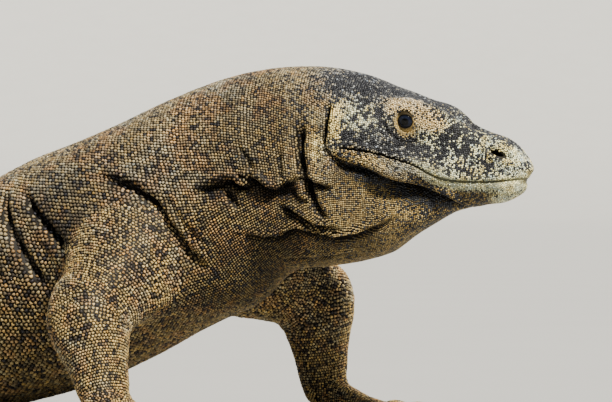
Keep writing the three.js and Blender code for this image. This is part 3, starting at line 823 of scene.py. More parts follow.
def leg_surface(leg, index, v, turn):
    """A leg part with fillets towards the body and the other part, and low creases
    inside the elbow or knee."""
    segment = leg.segments[index]
    v, turn = np.broadcast_arrays(np.asarray(v, float), np.asarray(turn, float))
    points = segment_surface(segment, v, turn)
    axis = segment.start + np.clip(v, 0, 1)[..., None] * segment.along
    points = push_out(points, segment_distance(points, leg.segments[1 - index]), 20.0, axis)
    if index == 0:
        s, around, out = body_place(points)
        apart = out - body_radius(s, around)
        points = push_out(points, apart, leg.blend, axis, fillet_share(s, around))
    wrinkle = 0.8 * np.sin(v * segment.length / 3.4) * bell(v, 1 - index, 0.22) * (np.abs(v - 0.5) < 0.5)
    return on_floor(points + wrinkle[..., None] * unit(points - axis))


def palm_surface(leg, share, turn):
    """The palm or sole as a floor bar from the wrist, pressed flat underneath."""
    points = floor_bar(leg.places[2], leg.turn, leg.palm_rows, share, turn)
    wrist = segment_distance(points, leg.segments[1])
    return on_floor(push_out(points, wrist, 14.0, leg.places[2]))


def toe_surface(leg, digit, share, turn):
    """A toe as a floor bar with a knuckle, pressed flat underneath."""
    return on_floor(floor_bar(*toe_spec(leg, digit)[:3], share, turn))


# The eyelid's outline in section: degrees out from the opening's edge, and height over the ball.
LID_ROWS = [
    (0, 5, -0.7), (1, 0, 0.25), (2, 2.5, 0.85), (3, 7, 1.05), (4, 12, 0.75), (5, 18, 1.2), (6, 27, 1.1),
    (7, 38, 0.4), (8, 52, -1.2), (9, 54, -3.4), (10, 20, -2.6), (11, 5, -0.7),
]

LID_EDGE = 48.5  # degrees from the eye's axis to the corners of the opening
LID_CLOSE = 7.0  # how much less above and below


def lid_surface(side, u, v):
    """The eyelids as one ring round the eyeball: v goes round its section, from the edge of an
    almond opening over two low rolls and down under the skin."""
    centre, outward_way, along, up = eye_frame(side)
    u, v = np.broadcast_arrays(u, v)
    lift = np.sin(u)
    row = through(LID_ROWS, v)
    angle = (LID_EDGE - LID_CLOSE * lift**2 + row[..., 1] * (1 + 0.25 * np.abs(lift))) * DEGREE
    wrinkle = 0.12 * np.sin(17 * u + 2 * np.sin(3 * u)) * bell(v, 4.5, 2)
    reach = EYE_RADIUS + row[..., 2] + 0.35 * lift * bell(v, 3, 2) + wrinkle
    reach += 1.3 * np.clip(-lift, 0, 1) * bell(v, 5.6, 1.8)
    return centre + reach[..., None] * round_axis(outward_way, along, up, angle, u)


def lid_mesh(side):
    """The lid ring closed on itself both ways."""
    count = 56
    points = lid_surface(side, circle(count)[:, None], np.linspace(0, 11, 26, endpoint=False))
    faces = halved(grid_faces(count + 1, points.shape[1]) % (points.size // 3))
    points = points.reshape(-1, 3)
    return new_mesh(f"lid_{SIDE_NAME[side]}", points, outward(points, faces))


def nostril_mesh(side):
    """The hollow of a nostril: ovals that shrink from outside the snout to a rounded end, along a
    line that bends back inside it."""
    s = NOSTRIL_AT + np.array([0, 1.0, 0])
    turns = side * (NOSTRIL_TURN * DEGREE + np.array([0, 0, 0.02]))
    here, behind, below = place_on_body(s, turns, body_radius(s, turns))
    back = unit(behind - here)
    inward = unit(np.cross(back, below - here) * side)
    if inward @ (here - along_spine(SPINE_CENTRE, NOSTRIL_AT)) > 0:
        inward = -inward
    down = np.cross(inward, back)
    down = down if down[2] < 0 else -down
    long_way = math.cos(NOSTRIL_LEAN) * back - math.sin(NOSTRIL_LEAN) * down
    short_way = math.sin(NOSTRIL_LEAN) * back + math.cos(NOSTRIL_LEAN) * down
    u = circle(28)[None]
    v = np.linspace(-4, 9, 14)[:, None]
    size = np.where(v < 1, 1.0, np.sqrt(np.clip(1 - ((v - 1) / 8.4) ** 2, 0, 1)))
    size = size + 0.25 * np.clip(1 - v, 0, 2)
    drift = np.clip(v, 0, 9) ** 2 * 0.06
    ring = (np.cos(u) * size * NOSTRIL_HALF[0] + drift)[..., None] * long_way
    ring = ring + (np.sin(u) * size * NOSTRIL_HALF[1])[..., None] * short_way
    return closed_tube(f"nostril_{SIDE_NAME[side]}", here + v[..., None] * inward + ring)


def near_joins(points):
    """Which vertices lie where a leg or toe grows out of the body, away from the face."""
    s, turn, out = body_place(points)
    off_body = out - body_radius(s, turn)
    joining = off_body > 5
    for leg in LEGS:
        joining |= (segment_distance(points, leg.segments[0]) < 7) & (np.abs(off_body) < 9)
    return joining & (s > 300) & (fillet_share(s, turn) > 0.5)


def join_and_cut(target, added, taken):
    """The target made one solid with the added meshes, and the taken ones cut from it; they are
    then removed."""
    for name, kind, meshes in (("join", "UNION", added), ("cut", "DIFFERENCE", taken)):
        group = bpy.data.collections.new(name)
        for other in meshes:
            group.objects.link(other)
        step = target.modifiers.new(name, "BOOLEAN")
        step.operation = kind
        step.operand_type = "COLLECTION"
        step.collection = group
        step.solver = "MANIFOLD"
    graph = bpy.context.evaluated_depsgraph_get()
    mesh = bpy.data.meshes.new_from_object(target.evaluated_get(graph))
    target.modifiers.clear()
    old, target.data = target.data, mesh
    for data in [old] + [other.data for other in added + taken]:
        bpy.data.meshes.remove(data)
    for name in ("join", "cut"):
        bpy.data.collections.remove(bpy.data.collections[name])
    if len(mesh.polygons) < 1000:
        raise RuntimeError("the skin's parts could not be joined")


def soften_joins(mesh, rounds=14):
    """Averages each vertex near a sharp join with its neighbours, so that legs and toes grow out
    of the body without a ridge."""
    points = read_points(mesh)
    edges = read(mesh.edges, "vertices", 2, np.int64)
    corners = read(mesh.loops, "edge_index", 1, np.int64)[:, 0]
    totals = read(mesh.polygons, "loop_total", 1, np.int64)[:, 0]
    normals = read(mesh.polygons, "normal", 3, float)
    owner = np.repeat(np.arange(len(mesh.polygons)), totals)
    order = np.argsort(corners, kind="stable")
    pairs = owner[order].reshape(-1, 2)
    bend = (normals[pairs[:, 0]] * normals[pairs[:, 1]]).sum(-1)
    sharp = np.zeros(len(points), bool)
    sharp[edges[corners[order][::2][bend < 0.93]].ravel()] = True
    weight = (sharp & near_joins(points)).astype(float)
    both_ways = ((edges[:, 0], edges[:, 1]), (edges[:, 1], edges[:, 0]))
    for _ in range(4):
        spread = np.zeros(len(points))
        for here, there in both_ways:
            np.maximum.at(spread, here, weight[there])
        weight = np.maximum(weight, 0.8 * spread)
    weight = np.where(weight > 0.3, weight, 0)[:, None] * 0.6
    count = np.bincount(edges.ravel(), minlength=len(points))[:, None]
    for _ in range(rounds):
        total = np.zeros_like(points)
        for here, there in both_ways:
            np.add.at(total, here, points[there])
        points = points + weight * (total / count - points)
    write_points(mesh, on_floor(points))
    mesh.update()


# ---- Markings ----

# Colours of the hide, as linear light.
TAN = np.array([0.252, 0.193, 0.100])
OCHRE = np.array([0.285, 0.203, 0.078])
STONE = np.array([0.252, 0.238, 0.180])
CREAM = np.array([0.90, 0.88, 0.53])
LIP = np.array([0.42, 0.425, 0.25])
ROSY = np.array([1.0, 0.74, 0.37])
RUST = np.array([0.285, 0.160, 0.070])
SLATE = np.array([0.0085, 0.0092, 0.0135])
ASH = np.array([0.185, 0.19, 0.190])
BLACK = np.array([0.004, 0.0035, 0.003])
HONEY = np.array([0.66, 0.54, 0.22])
SAGE = np.array([0.44, 0.48, 0.40])

# Soft-edged markings: distance from the snout tip, degrees round from the top, and reach along
# in millimetres and round in degrees.
SPOTS = {
    "lore": (88, 60, 10, 9),
    "temple": (150, 58, 17, 12),
    "cheek": (128, 74, 34, 15),
    "brow": (112, 39.5, 15, 6.0),
    "brow_front": (88, 46, 11, 5.5),
    "ear": (171, 62, 6, 15),
    "behind_ear": (190, 78, 7, 15),
    "throat_side": (236, 70, 26, 14),
}

# Darker and paler places on the face: distance from the snout tip, degrees round from the top,
# length and width in millimetres, and how much the share of dark scales changes.
FACE_PATCHES = [
    (131, 66, 13, 12, 0.60), (141, 58, 11, 5, -0.70), (160, 50, 10, 9, -0.35), (120, 78, 34, 8, 0.35),
    (163, 74, 9, 12, 0.25), (112, 77, 15, 9, 0.30), (88, 60, 9, 8, -0.30), (98, 71, 9, 8, -0.25),
    (66, 60, 17, 13, 0.70), (62, 90, 16, 9, -0.30), (40, 52, 9, 8, -0.35), (26, 62, 15, 9, -0.35),
    (9, 62, 8, 14, -0.45), (22, 66, 12, 8, -0.35), (42, 78, 9, 7, 0.25), (24, 18, 15, 10, 0.30),
    (8, 78, 8, 10, -0.15),
]

# Darker and lighter regions of the neck and shoulder: a spot and the change of brightness.
# Painted shade behind the shoulder, under the throat and on the chest below it; the other rows darken or
# lighten the hide.
TONE_AND_PAINTED_SHADE = [
    ((225, 60, 45, 40), -0.30), ((414, 84, 38, 24), -0.56), ((395, 55, 40, 20), -0.14),
    ((250, 152, 50, 26), -0.25), ((311, 48, 34, 22), 0.22), ((300, 158, 60, 26), -0.40),
]


def value_noise(points, size, seed=0):
    """Smooth random numbers from 0 to 1 over space: hashed corners of a cubic lattice of the
    given size, blended smoothly."""
    place = points / size + 1000.0
    cell = np.floor(place).astype(np.int64)
    t = place - cell
    t = t * t * (3 - 2 * t)
    total = np.zeros(points.shape[:-1])
    for corner in np.ndindex(2, 2, 2):
        x, y, z = np.moveaxis(cell + np.array(corner), -1, 0)
        mixed = x * 73856093 ^ y * 19349663 ^ z * 83492791 ^ seed * 2654435
        mixed = (mixed ^ (mixed >> 13)) * 1274126177 & 0xFFFFFFFF
        share = np.prod(np.where(np.array(corner) == 1, t, 1 - t), -1)
        total += share * ((mixed >> 8) & 0xFFFF) / 65535.0
    return total


def rise(value, start, slope, most=1.0):
    """Nought up to start and then rising by slope as far as most."""
    return np.clip((value - start) * slope, 0, most)


def tinted(colour, tints):
    """The colour moved towards each tint in turn by the tint's share, clipped to 0 to 1."""
    for tint, share in tints:
        colour = colour + (tint - colour) * np.clip(share, 0, 1)[..., None]
    return colour


def lip_share(s, height, back):
    """One on the pale lips in front, fading towards the eye and away from the mouth line."""
    near = np.clip(1.25 - np.abs(height + 3.0 - 4.0 * (s > 70)) / 10, 0, 1)
    return near * (back < MOUTH_END + 4) * ramp(s, 112, 82)


def jaw_share(s, height, back):
    """One on the side of the lower jaw behind the pale lip, under the mouth line."""
    return ramp(s, 78, 102) * np.clip(1.3 - np.abs(height + 7) / 9, 0, 1) * (back < MOUTH_END + 6)


class Marks:
    """How strongly each marking shows at some places on the body: 0 to 1 or somewhat over."""

    def __init__(self, s, turn, points):
        degrees = np.abs(turn) / DEGREE
        height, back = above_mouth(points)
        self.s, self.degrees, self.height = s, degrees, height
        self.radius = body_radius(s, turn)
        for name, row in SPOTS.items():
            setattr(self, name, spot(s, degrees, *row))
        above_jaw = np.clip((height + 6) / 10 + (s > 150), 0, 1)
        self.head = ramp(s, 190, 172) * above_jaw * (degrees < 108)
        self.snout = ramp(s, 98, 64)
        self.lips = lip_share(s, height, back)
        self.jaw = jaw_share(s, height, back)
        self.brows = 2.6 * np.maximum(self.brow, self.brow_front)
        apart = np.hypot(s - EYE_AT, (degrees - EYE_TURN) * DEGREE * self.radius)
        # The pale lid shows only under the eye; above it the lid stays dark, the brow's painted shadow.
        self.lid = bell(apart, 8.6, 2.6) * ramp(degrees, EYE_TURN - 5, EYE_TURN + 3)
        crown = ramp(degrees, 45, 33) * ramp(s, 205, 171) * ramp(s, 50, 80)
        bridge = ramp(degrees, 38, 26) * ramp(s, 96, 72) * ramp(s, 6, 16)
        self.crown = np.maximum(crown, 0.92 * bridge)
        # The underside of the lower jaw in front: darker ochre with more dark scales, painted shade.
        self.chin = ramp(height, -6.5, -10.5) * ramp(s, 20, 34) * ramp(s, 118, 88) * (back < 120)
        # A band under the jaw's edge, darker and with more dark scales: painted shadow of the jaw. The
        # distance round from its middle is kept as below.
        self.below = degrees - 126 + 0.6 * (s - 112)
        self.jaw_shadow = bell(self.below, 0, 7) * ramp(s, 50, 70) * ramp(s, 172, 152)


def light_colour(m, points):
    """The hide's light colour: tan, with a list of tints laid over it in order."""
    s, degrees = m.s, m.degrees
    tint = value_noise(points, 8.0, 12)
    rust = value_noise(points, 9.0, 14) * 0.6 + value_noise(points, 26.0, 15) * 0.4
    warmer = [(OCHRE * 1.15, rise(s, 118, 1 / 30, 0.9))]
    jaw_tone = tinted(np.broadcast_to(STONE, points.shape), warmer)
    jaw_edge = bell(s, 150, 24) * bell(m.height, -9 - (s - 150) * 0.05, 4.5) * (s < 190)
    tints = [
        (STONE, 0.40 * rise(value_noise(points, 30.0, 1), 0.5, 5) + 0.25 * bell(degrees, 0, 34)),
        (OCHRE, rise(degrees, 84, 1 / 40, 0.8) * ramp(s, 60, 120)),
        (OCHRE * 1.1, 0.7 * m.throat_side),
        (STONE * 1.15, 0.85 * m.head),
        (CREAM, m.head * (m.temple + m.lore)),
        (CREAM, 0.95 * m.snout * np.clip((degrees - 12) / 22, 0.15, 1)),
        (ASH * 1.15, 0.9 * m.cheek),
        (HONEY, m.snout * rise(tint, 0.53, 4, 0.8)),
        (SAGE, m.snout * rise(tint, 0.46, -4, 0.8)),
        (LIP, m.lips * (1 - 0.45 * m.snout)),
        (jaw_tone, m.jaw),
        (OCHRE * 1.7, jaw_edge),
        (ROSY, m.brows),
        (OCHRE * 1.5, 1.5 * m.lid),
        (ROSY * [0.95, 1.02, 0.8], np.maximum(1.6 * m.ear, 0.8 * m.behind_ear)),
        (RUST, rise(rust, 0.5, 3.5, 0.6) * ramp(s, 150, 210)),
        (ASH, 0.85 * m.crown * (1 - 0.5 * m.snout)),
        # Painted shade under the chin.
        (OCHRE * 0.9, m.chin),
        # Below the jaw's shadow band a brighter ochre: partly the hide's colour, partly painted light.
        (OCHRE * 1.9, 0.9 * bell(m.below, 12, 8) * bell(s, 95, 40)),
    ]
    return tinted(np.broadcast_to(TAN, points.shape), tints)


def dark_share(m, points):
    """What share of the scales is dark: a few on the body, most on the crown and in blotches on
    the face, with pale veins, fewer on the brows, lids and lips, and more under the chin and in the band under
    the jaw's edge, both painted shade."""
    fine, coarse = value_noise(points, 5.0, 3), value_noise(points, 13.0, 4)
    blotch = np.clip((0.65 * fine + 0.35 * coarse - 0.45) * 3.6, -0.6, 1)
    dark = 0.10 + 0.12 * rise(0.5 * value_noise(points, 19.0, 2) + 0.5 * fine, 0.48, 4)
    veins = 1 - np.abs(2 * value_noise(points, 6.5, 8) - 1)
    face = m.head * (0.68 + 0.32 * blotch)
    for at, round_to, long, wide, change in FACE_PATCHES:
        across = (m.degrees - round_to) * DEGREE * m.radius
        face = face + change * bell(m.s, at, long) * bell(across, 0, wide)
    face = np.minimum(face, 0.96) - 0.65 * m.head * rise(veins, 0.82, 7)
    dark = dark * (1 - m.head) + m.head * face
    dark = np.maximum(dark, m.crown * (0.80 + 0.15 * blotch))
    shares = ((m.lips, 0.95), (m.brows, 0.78), (1.6 * m.ear, 0.85), (1.4 * m.lid, 0.85), (m.jaw, 0.45))
    bare = np.maximum.reduce([np.clip(share, 0, 1) * most for share, most in shares])
    dark = dark * (1 - bare)
    # Painted shade: more dark scales under the chin and in the jaw's shadow band.
    dark = dark + (0.58 - dark) * m.chin
    return np.clip(np.maximum(dark, 0.8 * m.jaw_shadow), 0.03, 0.95)


def body_markings(s, turn, points):
    """Light colour of the hide and what share of its scales is dark, by place on the body. Both
    are sums of patches with soft edges and of noise of several sizes; some patches are painted shade."""
    m = Marks(s, turn, points)
    shade = 0.66 + 0.5 * value_noise(points, 24.0, 7)
    # The table's painted shade and changes of tone.
    for row, change in TONE_AND_PAINTED_SHADE:
        shade = shade + change * spot(s, m.degrees, *row)
    # The band under the jaw's edge is darkened: painted shadow.
    light = light_colour(m, points) * (shade * (1 - 0.35 * m.jaw_shadow))[..., None]
    return light, dark_share(m, points)


def leg_markings(points):
    """Light colour and share of dark scales on the legs: warmer and yellower low down."""
    low = np.clip((245 - points[..., 2]) / 90, 0, 0.9)
    tints = [
        (OCHRE * (1.05 + 0.35 * np.clip(low - 0.6, 0, 1))[..., None], low),
        (STONE, 0.3 * (value_noise(points, 21.0, 5) > 0.6)),
        (RUST, rise(value_noise(points, 8.0, 14), 0.52, 3.5, 0.6)),
    ]
    dark = 0.11 + 0.15 * rise(value_noise(points, 14.0, 6), 0.5, 4)
    return tinted(np.broadcast_to(TAN, points.shape), tints), dark


class Finish:
    """A material in the making: short calls add its nodes and join them up."""

    def __init__(self, name, roughness, gloss=0.5):
        self.material = bpy.data.materials.new(name)
        self.material.use_nodes = True
        self.tree = self.material.node_tree
        self.shader = self.tree.nodes["Principled BSDF"]
        self.feed(self.shader, Roughness=roughness, Specular_IOR_Level=gloss)

    def feed(self, node, **inputs):
        """Sets each input to a number or colour, or joins it to another node's output. Their
        names have underscores for spaces."""
        for name, value in inputs.items():
            socket = node.inputs[name.replace("_", " ")]
            if isinstance(value, bpy.types.NodeSocket):
                self.tree.links.new(value, socket)
            else:
                socket.default_value = value

    def add(self, kind, settings, **inputs):
        """A new node with the given settings and inputs."""
        node = self.tree.nodes.new("ShaderNode" + kind)
        for name, value in settings.items():
            setattr(node, name, value)
        self.feed(node, **inputs)
        return node

    def noise(self, scale, detail=2.0):
        """Noise over the piece, as a number from 0 to 1."""
        place = self.add("TexCoord", {}).outputs["Object"]
        return self.add("TexNoise", {}, Vector=place, Scale=scale, Detail=detail).outputs["Fac"]

    def mottle(self, attribute, noise, **limits):
        """The colour in an attribute, times a factor that follows the noise between the limits."""
        factor = self.add("MapRange", {}, Value=noise, **limits).outputs["Result"]
        colour = self.add("Attribute", {"attribute_name": attribute}).outputs["Color"]
        mixed = self.add("VectorMath", {"operation": "SCALE"}, Vector=colour, Scale=factor)
        self.feed(self.shader, Base_Color=mixed.outputs["Vector"])


def store_colour(mesh, name, colours):
    """A colour for each vertex, kept as an attribute."""
    values = np.ones((len(mesh.vertices), 4), np.float32)
    values[:, :3] = colours
    layer = mesh.color_attributes.new(name, "FLOAT_COLOR", "POINT")
    layer.data.foreach_set("color", values.ravel())


# ---- Materials ----


def hide_material(name, settings, coat):
    """Hide: the vertex colour broken up by fine noise, with a dull wax-like gloss and a fine
    bump."""
    finish = Finish(name, settings.roughness, 0.15 if coat else 0.06)
    noise = finish.noise(900.0 if coat else 420.0, 3.0)
    finish.mottle("hide", noise, From_Min=0.3, From_Max=0.7, To_Min=0.72, To_Max=1.22)
    bump = finish.add("Bump", {}, Strength=0.35, Distance=0.0004, Height=noise)
    finish.feed(finish.shader, Normal=bump.outputs["Normal"])
    return finish.material


def two_shade_material(name, colour, roughness, noise_scale, contrast):
    """A plain stuff whose colour is varied by noise between a darker and a lighter shade."""
    finish = Finish(name, roughness)
    blend = finish.add("ValToRGB", {}, Fac=finish.noise(noise_scale))
    stops = blend.color_ramp.elements
    for stop, position, factor in zip(stops, (0.35, 0.7), (1 - contrast, 1 + contrast)):
        stop.position = position
        stop.color = (*[c * factor for c in colour], 1)
    finish.feed(finish.shader, Base_Color=blend.outputs["Color"])
    return finish.material


# ---- Scales ----


# A scale's size, as shares of the spacing: the most and least that its corners reach, how near
# another root may be on its own part and on the parts beside, and how much its height is on the
# body and how much less on the head.
MOST_REACH = 0.68
LEAST_REACH = 0.22
CROWDED = 0.62
CROWDED_BESIDE = 0.8
RISE = (0.36, 0.10)
SINK = 0.45  # of its height: how deep its foot goes into the skin
BRIGHTEST = 0.94  # of a colour's strongest part
UNWRAP_SIZE = 0.003  # of one scale on the unwrapped sheet


class Tile:
    """The pattern that each scale is made on: six corners round its root and six or three more
    on top. Faces go up the side, over the top and across underneath."""

    def __init__(self, tops):
        i = np.arange(6)
        j = (i + 1) % 6
        if tops == 6:
            walls = [np.stack(corners, -1) for corners in ((i, j, 6 + j), (i, 6 + j, 6 + i))]
        else:
            low, after = i[::2], (i[::2] + 2) % 6
            top, next_top = low // 2 + 6, after // 2 + 6
            sides = [(low, low + 1, top), (low + 1, after, next_top), (low + 1, next_top, top)]
            walls = [np.stack(corners, -1) for corners in sides]
        cover = [[6, k, k + 1] for k in range(7, 5 + tops)]
        under = [[0, k + 1, k] for k in range(1, 5)]
        self.faces = np.concatenate([*walls, cover, under])
        self.angles = i * math.pi / 3
        self.tops = tops

    def top_corners(self, outline):
        """Where the top corners stand: over the lower ones, or over the middles of every other
        side."""
        return outline if self.tops == 6 else (outline[:, 0::2] + outline[:, 1::2]) / 2


class Patch:
    """Scale roots on one part of the body as arrays, one entry for each root: ring and turn in
    the pattern, place, directions back and outwards, spacing, and place on the unwrapped skin."""

    FIELDS = ("ring", "turn", "points", "back", "out", "pitch", "unwrap")

    def __init__(self, name, *fields):
        self.name = name
        for field, values in zip(self.FIELDS, fields):
            setattr(self, field, values)
        self.keep(np.lexsort((self.turn, self.ring)))

    def keep(self, some):
        """Leaves out the roots that aren't chosen, or puts them in the given order."""
        for field in self.FIELDS:
            setattr(self, field, getattr(self, field)[some])

    def ring_neighbours(self):
        """The next two roots in the ring and the nearest four in each ring beside it."""
        keys = self.ring * 10.0 + self.turn
        first = np.searchsorted(keys, self.ring * 10.0 - 5)
        count = np.searchsorted(keys, self.ring * 10.0 + 5) - first
        here = np.arange(len(keys))
        near = [first + (here - first + k) % count for k in (-1, 1)]
        for step in (-1, 1):
            start = np.searchsorted(keys, (self.ring + step) * 10.0 - 5)
            size = np.searchsorted(keys, (self.ring + step) * 10.0 + 5) - start
            at = np.searchsorted(keys, (self.ring + step) * 10.0 + self.turn) - start
            some = np.maximum(size, 1)
            near += [np.where(size > 0, start + (at + k) % some, here) for k in (-2, -1, 0, 1)]
        return np.minimum(np.stack(near, -1), len(here) - 1)

    def cells(self, near, angles):
        """How far each scale may reach in each direction: half way to its neighbours, as the
        smallest of the squared distance over twice the distance along that direction."""
        across = np.cross(self.out, self.back)
        reach = np.repeat(self.pitch[:, None] * MOST_REACH, len(angles), 1)
        for other in near.T:
            gap = self.points[other] - self.points
            x, y = (gap * self.back).sum(-1), (gap * across).sum(-1)
            along = x[:, None] * np.cos(angles) + y[:, None] * np.sin(angles)
            far = (x**2 + y**2)[:, None]
            half = far / (2 * np.maximum(along, 1e-6))
            reach = np.minimum(reach, np.where((along > 1e-6) & (far > 0.3), half, 99.0))
        return np.maximum(reach, self.pitch[:, None] * LEAST_REACH)


def nearest_roots(points, others, count):
    """The nearest few of the others to each point and how far off they are, by whole blocks of
    squared distances. A point isn't counted as its own neighbour."""
    middle = points.mean(0)
    a, b = (points - middle).astype(np.float32), (others - middle).astype(np.float32)
    near = np.empty((len(a), count), int)
    gaps = np.empty((len(a), count))
    for block in np.array_split(np.arange(len(a)), len(a) // 500 + 1):
        square = (a[block] ** 2).sum(-1)[:, None] + (b**2).sum(-1)[None] - 2 * a[block] @ b.T
        if points is others:
            square[np.arange(len(block)), block] = np.inf
        near[block] = np.argpartition(square, count, 1)[:, :count]
        gaps[block] = np.sqrt(np.maximum(np.take_along_axis(square, near[block], 1), 0))
    return near, gaps


def not_crowded(points, pitch, taken):
    """Which roots to keep so that none is too near an earlier one on its own part, or the
    roots already taken on the parts beside."""
    near, gaps = nearest_roots(points, points, 10)
    earlier = (gaps < CROWDED * pitch[:, None]) & (near < np.arange(len(points))[:, None])
    kept = np.ones(len(points), bool)
    for _ in range(6):
        kept = ~(earlier & kept[near]).any(1)
    close = (np.abs(taken - points.mean(0)) < np.abs(points - points.mean(0)).max(0) + 8).all(-1)
    if close.sum() > 4:
        kept &= nearest_roots(points, taken[close], 1)[1][:, 0] > CROWDED_BESIDE * pitch
    return kept


def directions(surface, first, second, step_first, step_second):
    """Place on a surface, unit direction of its first parameter, and outward unit normal, from
    small steps of each parameter."""
    here = surface(first, second)
    ahead = surface(first + step_first, second) - here
    round_it = surface(first, second + step_second) - here
    return here, unit(ahead), unit(np.cross(ahead, round_it))


# Distance between scales down the back, by distance from the snout tip.
SPACING = [
    (0, 40, 110, 180, 250, 330, 450, 700, 1200, 1800, 2300, 2520),
    (1.75, 1.85, 2.0, 2.25, 2.8, 3.3, 4.1, 5.0, 5.7, 5.6, 4.6, 3.4),
]


def body_pitch(s, degrees):
    """Distance between scales: finest round the eyes and mouth, small on head and throat, larger
    down the back and on the belly."""
    throat = bell(degrees, 150, 42) * ramp(s, 360, 300)
    eye = spot(s, degrees, EYE_AT, EYE_TURN, 15, 15)
    belly = ramp(degrees, 140, 160) * ramp(s, 420, 500)
    return np.interp(s, *SPACING) * (1 - 0.17 * throat) * (1 - 0.28 * eye) * (1 + 0.25 * belly)


def throat_share(s, degrees):
    """One on the throat, where scales stand in lines along the body, and nought elsewhere."""
    return ramp(degrees, 98, 112) * ramp(s, 340, 290) * ramp(s, 70, 100)


ROW_STEP = 0.87  # of the spacing, between rows of scales


def body_rows():
    """Where the rings of scales stand along the body: a whole number of row steps apart, counted
    along its side."""
    snout = np.linspace(0.01, 6, 600, endpoint=False)
    fine = np.concatenate([snout, np.linspace(6, LENGTH - 2, 12000)])
    slope = np.gradient(body_radius(fine, np.full(fine.shape, 1.3)), fine)
    arc = np.sqrt(1 + np.clip(np.abs(slope), 0, 60) ** 2) * np.gradient(fine)
    count = np.cumsum(arc / (ROW_STEP * body_pitch(fine, np.full(fine.shape, 70.0))))
    return np.interp(np.arange(0.5, count[-1]), count, fine)


def body_roots(rng):
    """Rings along the back, each filled with scales outwards from the top line on both sides, so
    that neighbouring rings stay in step. Every other ring is shifted by half a scale, except on
    the throat, where the scales line up from ring to ring."""
    rows = body_rows()
    turns = np.linspace(0.0, math.pi, 120)
    grid_s, grid_turn = np.meshgrid(rows, turns, indexing="ij")
    points = place_on_body(grid_s, grid_turn, body_radius(grid_s, grid_turn))
    step = np.linalg.norm(np.diff(points, axis=1), axis=-1)
    middle = (grid_turn[:, 1:] + grid_turn[:, :-1]) / 2 / DEGREE
    filled = np.cumsum(step / body_pitch(grid_s[:, 1:], middle), 1)
    filled = np.concatenate([np.zeros((len(rows), 1)), filled], 1)
    found = []
    for i, row in enumerate(rows):
        numbers = np.arange(0, max(filled[i, -1] - 0.3, 1))
        straight = np.interp(numbers, filled[i], turns)
        shifted = np.interp(numbers + 0.5 * (i % 2), filled[i], turns)
        turn = shifted + (straight - shifted) * throat_share(row, straight / DEGREE)
        both = np.concatenate([-turn[turn > 1e-6], turn])
        found.append(np.stack([np.full(len(both), float(i)), np.full(len(both), row), both]))
    ring, s, turn = np.concatenate(found, 1)
    degrees = np.abs(turn) / DEGREE
    pitch = body_pitch(s, degrees)
    loose = (0.07 + 0.08 * ramp(s, 205, 175) * (1 - throat_share(s, degrees))) * pitch
    turn = turn + rng.normal(0, 1, s.shape) * loose / np.maximum(body_radius(s, turn), 3)
    s = np.clip(s + rng.normal(0, 1, s.shape) * loose * ramp(s, 0, 12), 0.01, LENGTH - 2)
    return ring, s, turn


def body_patches(rng):
    """Scales of head, neck, trunk and tail."""
    ring, s, turn = body_roots(rng)
    radius = body_radius(s, turn)
    points, back, out = directions(body_surface, s, turn, 0.5, 0.5 / np.maximum(radius, 4))
    out = out * np.sign((out * (points - along_spine(SPINE_CENTRE, s))).sum(-1, keepdims=True))
    pitch = body_pitch(s, np.abs(turn) / DEGREE)
    fields = (ring, turn, points, back, out, pitch, np.stack([turn, s], -1))
    starts = np.maximum.accumulate(s)
    patches = []
    parts = (("head", 0, 215), ("neck", 215, 470), ("trunk", 470, 1190), ("tail", 1190, None))
    for name, low, high in parts:
        some = ring >= ring[np.searchsorted(starts, low)]
        if high:
            some &= ring < ring[np.searchsorted(starts, high)]
        patches.append(Patch(f"{name}_scales", *(x[some] for x in fields)))
    return patches


def in_opening(points):
    """Which roots lie in an eye, a nostril or the mouth, or under a foot."""
    s, turn, _ = body_place(points)
    height, back = above_mouth(points)
    arc = body_radius(s, turn) * DEGREE
    degrees = np.abs(turn) / DEGREE
    eye = np.hypot((s - EYE_AT) / EYE_BARE[0], (degrees - EYE_TURN) * arc / EYE_BARE[1]) < 1
    across, down = nostril_axes(s - NOSTRIL_AT, (degrees - NOSTRIL_TURN) * arc)
    nostril = np.hypot(across / NOSTRIL_BARE[0], down / NOSTRIL_BARE[1]) < 1
    mouth = (np.abs(height) < 1.1) & (back < MOUTH_END)
    return (s < 205) & (eye | nostril | mouth) | (points[:, 2] < 1.5)


def lattice(length, girth, pitch):
    """Staggered lattice on a rolled-out strip: places along and round it, both from 0 to 1."""
    rows = max(int(length / (pitch * ROW_STEP)), 1)
    columns = max(int(girth / pitch), 3)
    r, c = np.meshgrid(np.arange(rows), np.arange(columns), indexing="ij")
    return ((r + 0.5) / rows).ravel(), (((c + 0.5 * (r % 2)) / columns) % 1).ravel()


def cap_spiral(radius, pitch):
    """Roots on the round end of a leg part: a sunflower spiral from its pole."""
    number = int(2 * math.pi * radius**2 / (ROW_STEP * pitch**2))
    i = np.arange(number)
    return 2 - np.arccos(1 - (i + 0.5) / number) / (math.pi / 2), i * math.pi * (3 - math.sqrt(5))


# Distance between scales on the legs, from the body down, and how much more it is behind.
LIMB_SPACING = (3.4, 3.15)
PALM_SPACING = 2.8
TOE_SPACING = 2.6
HIND_FACTOR = 1.2


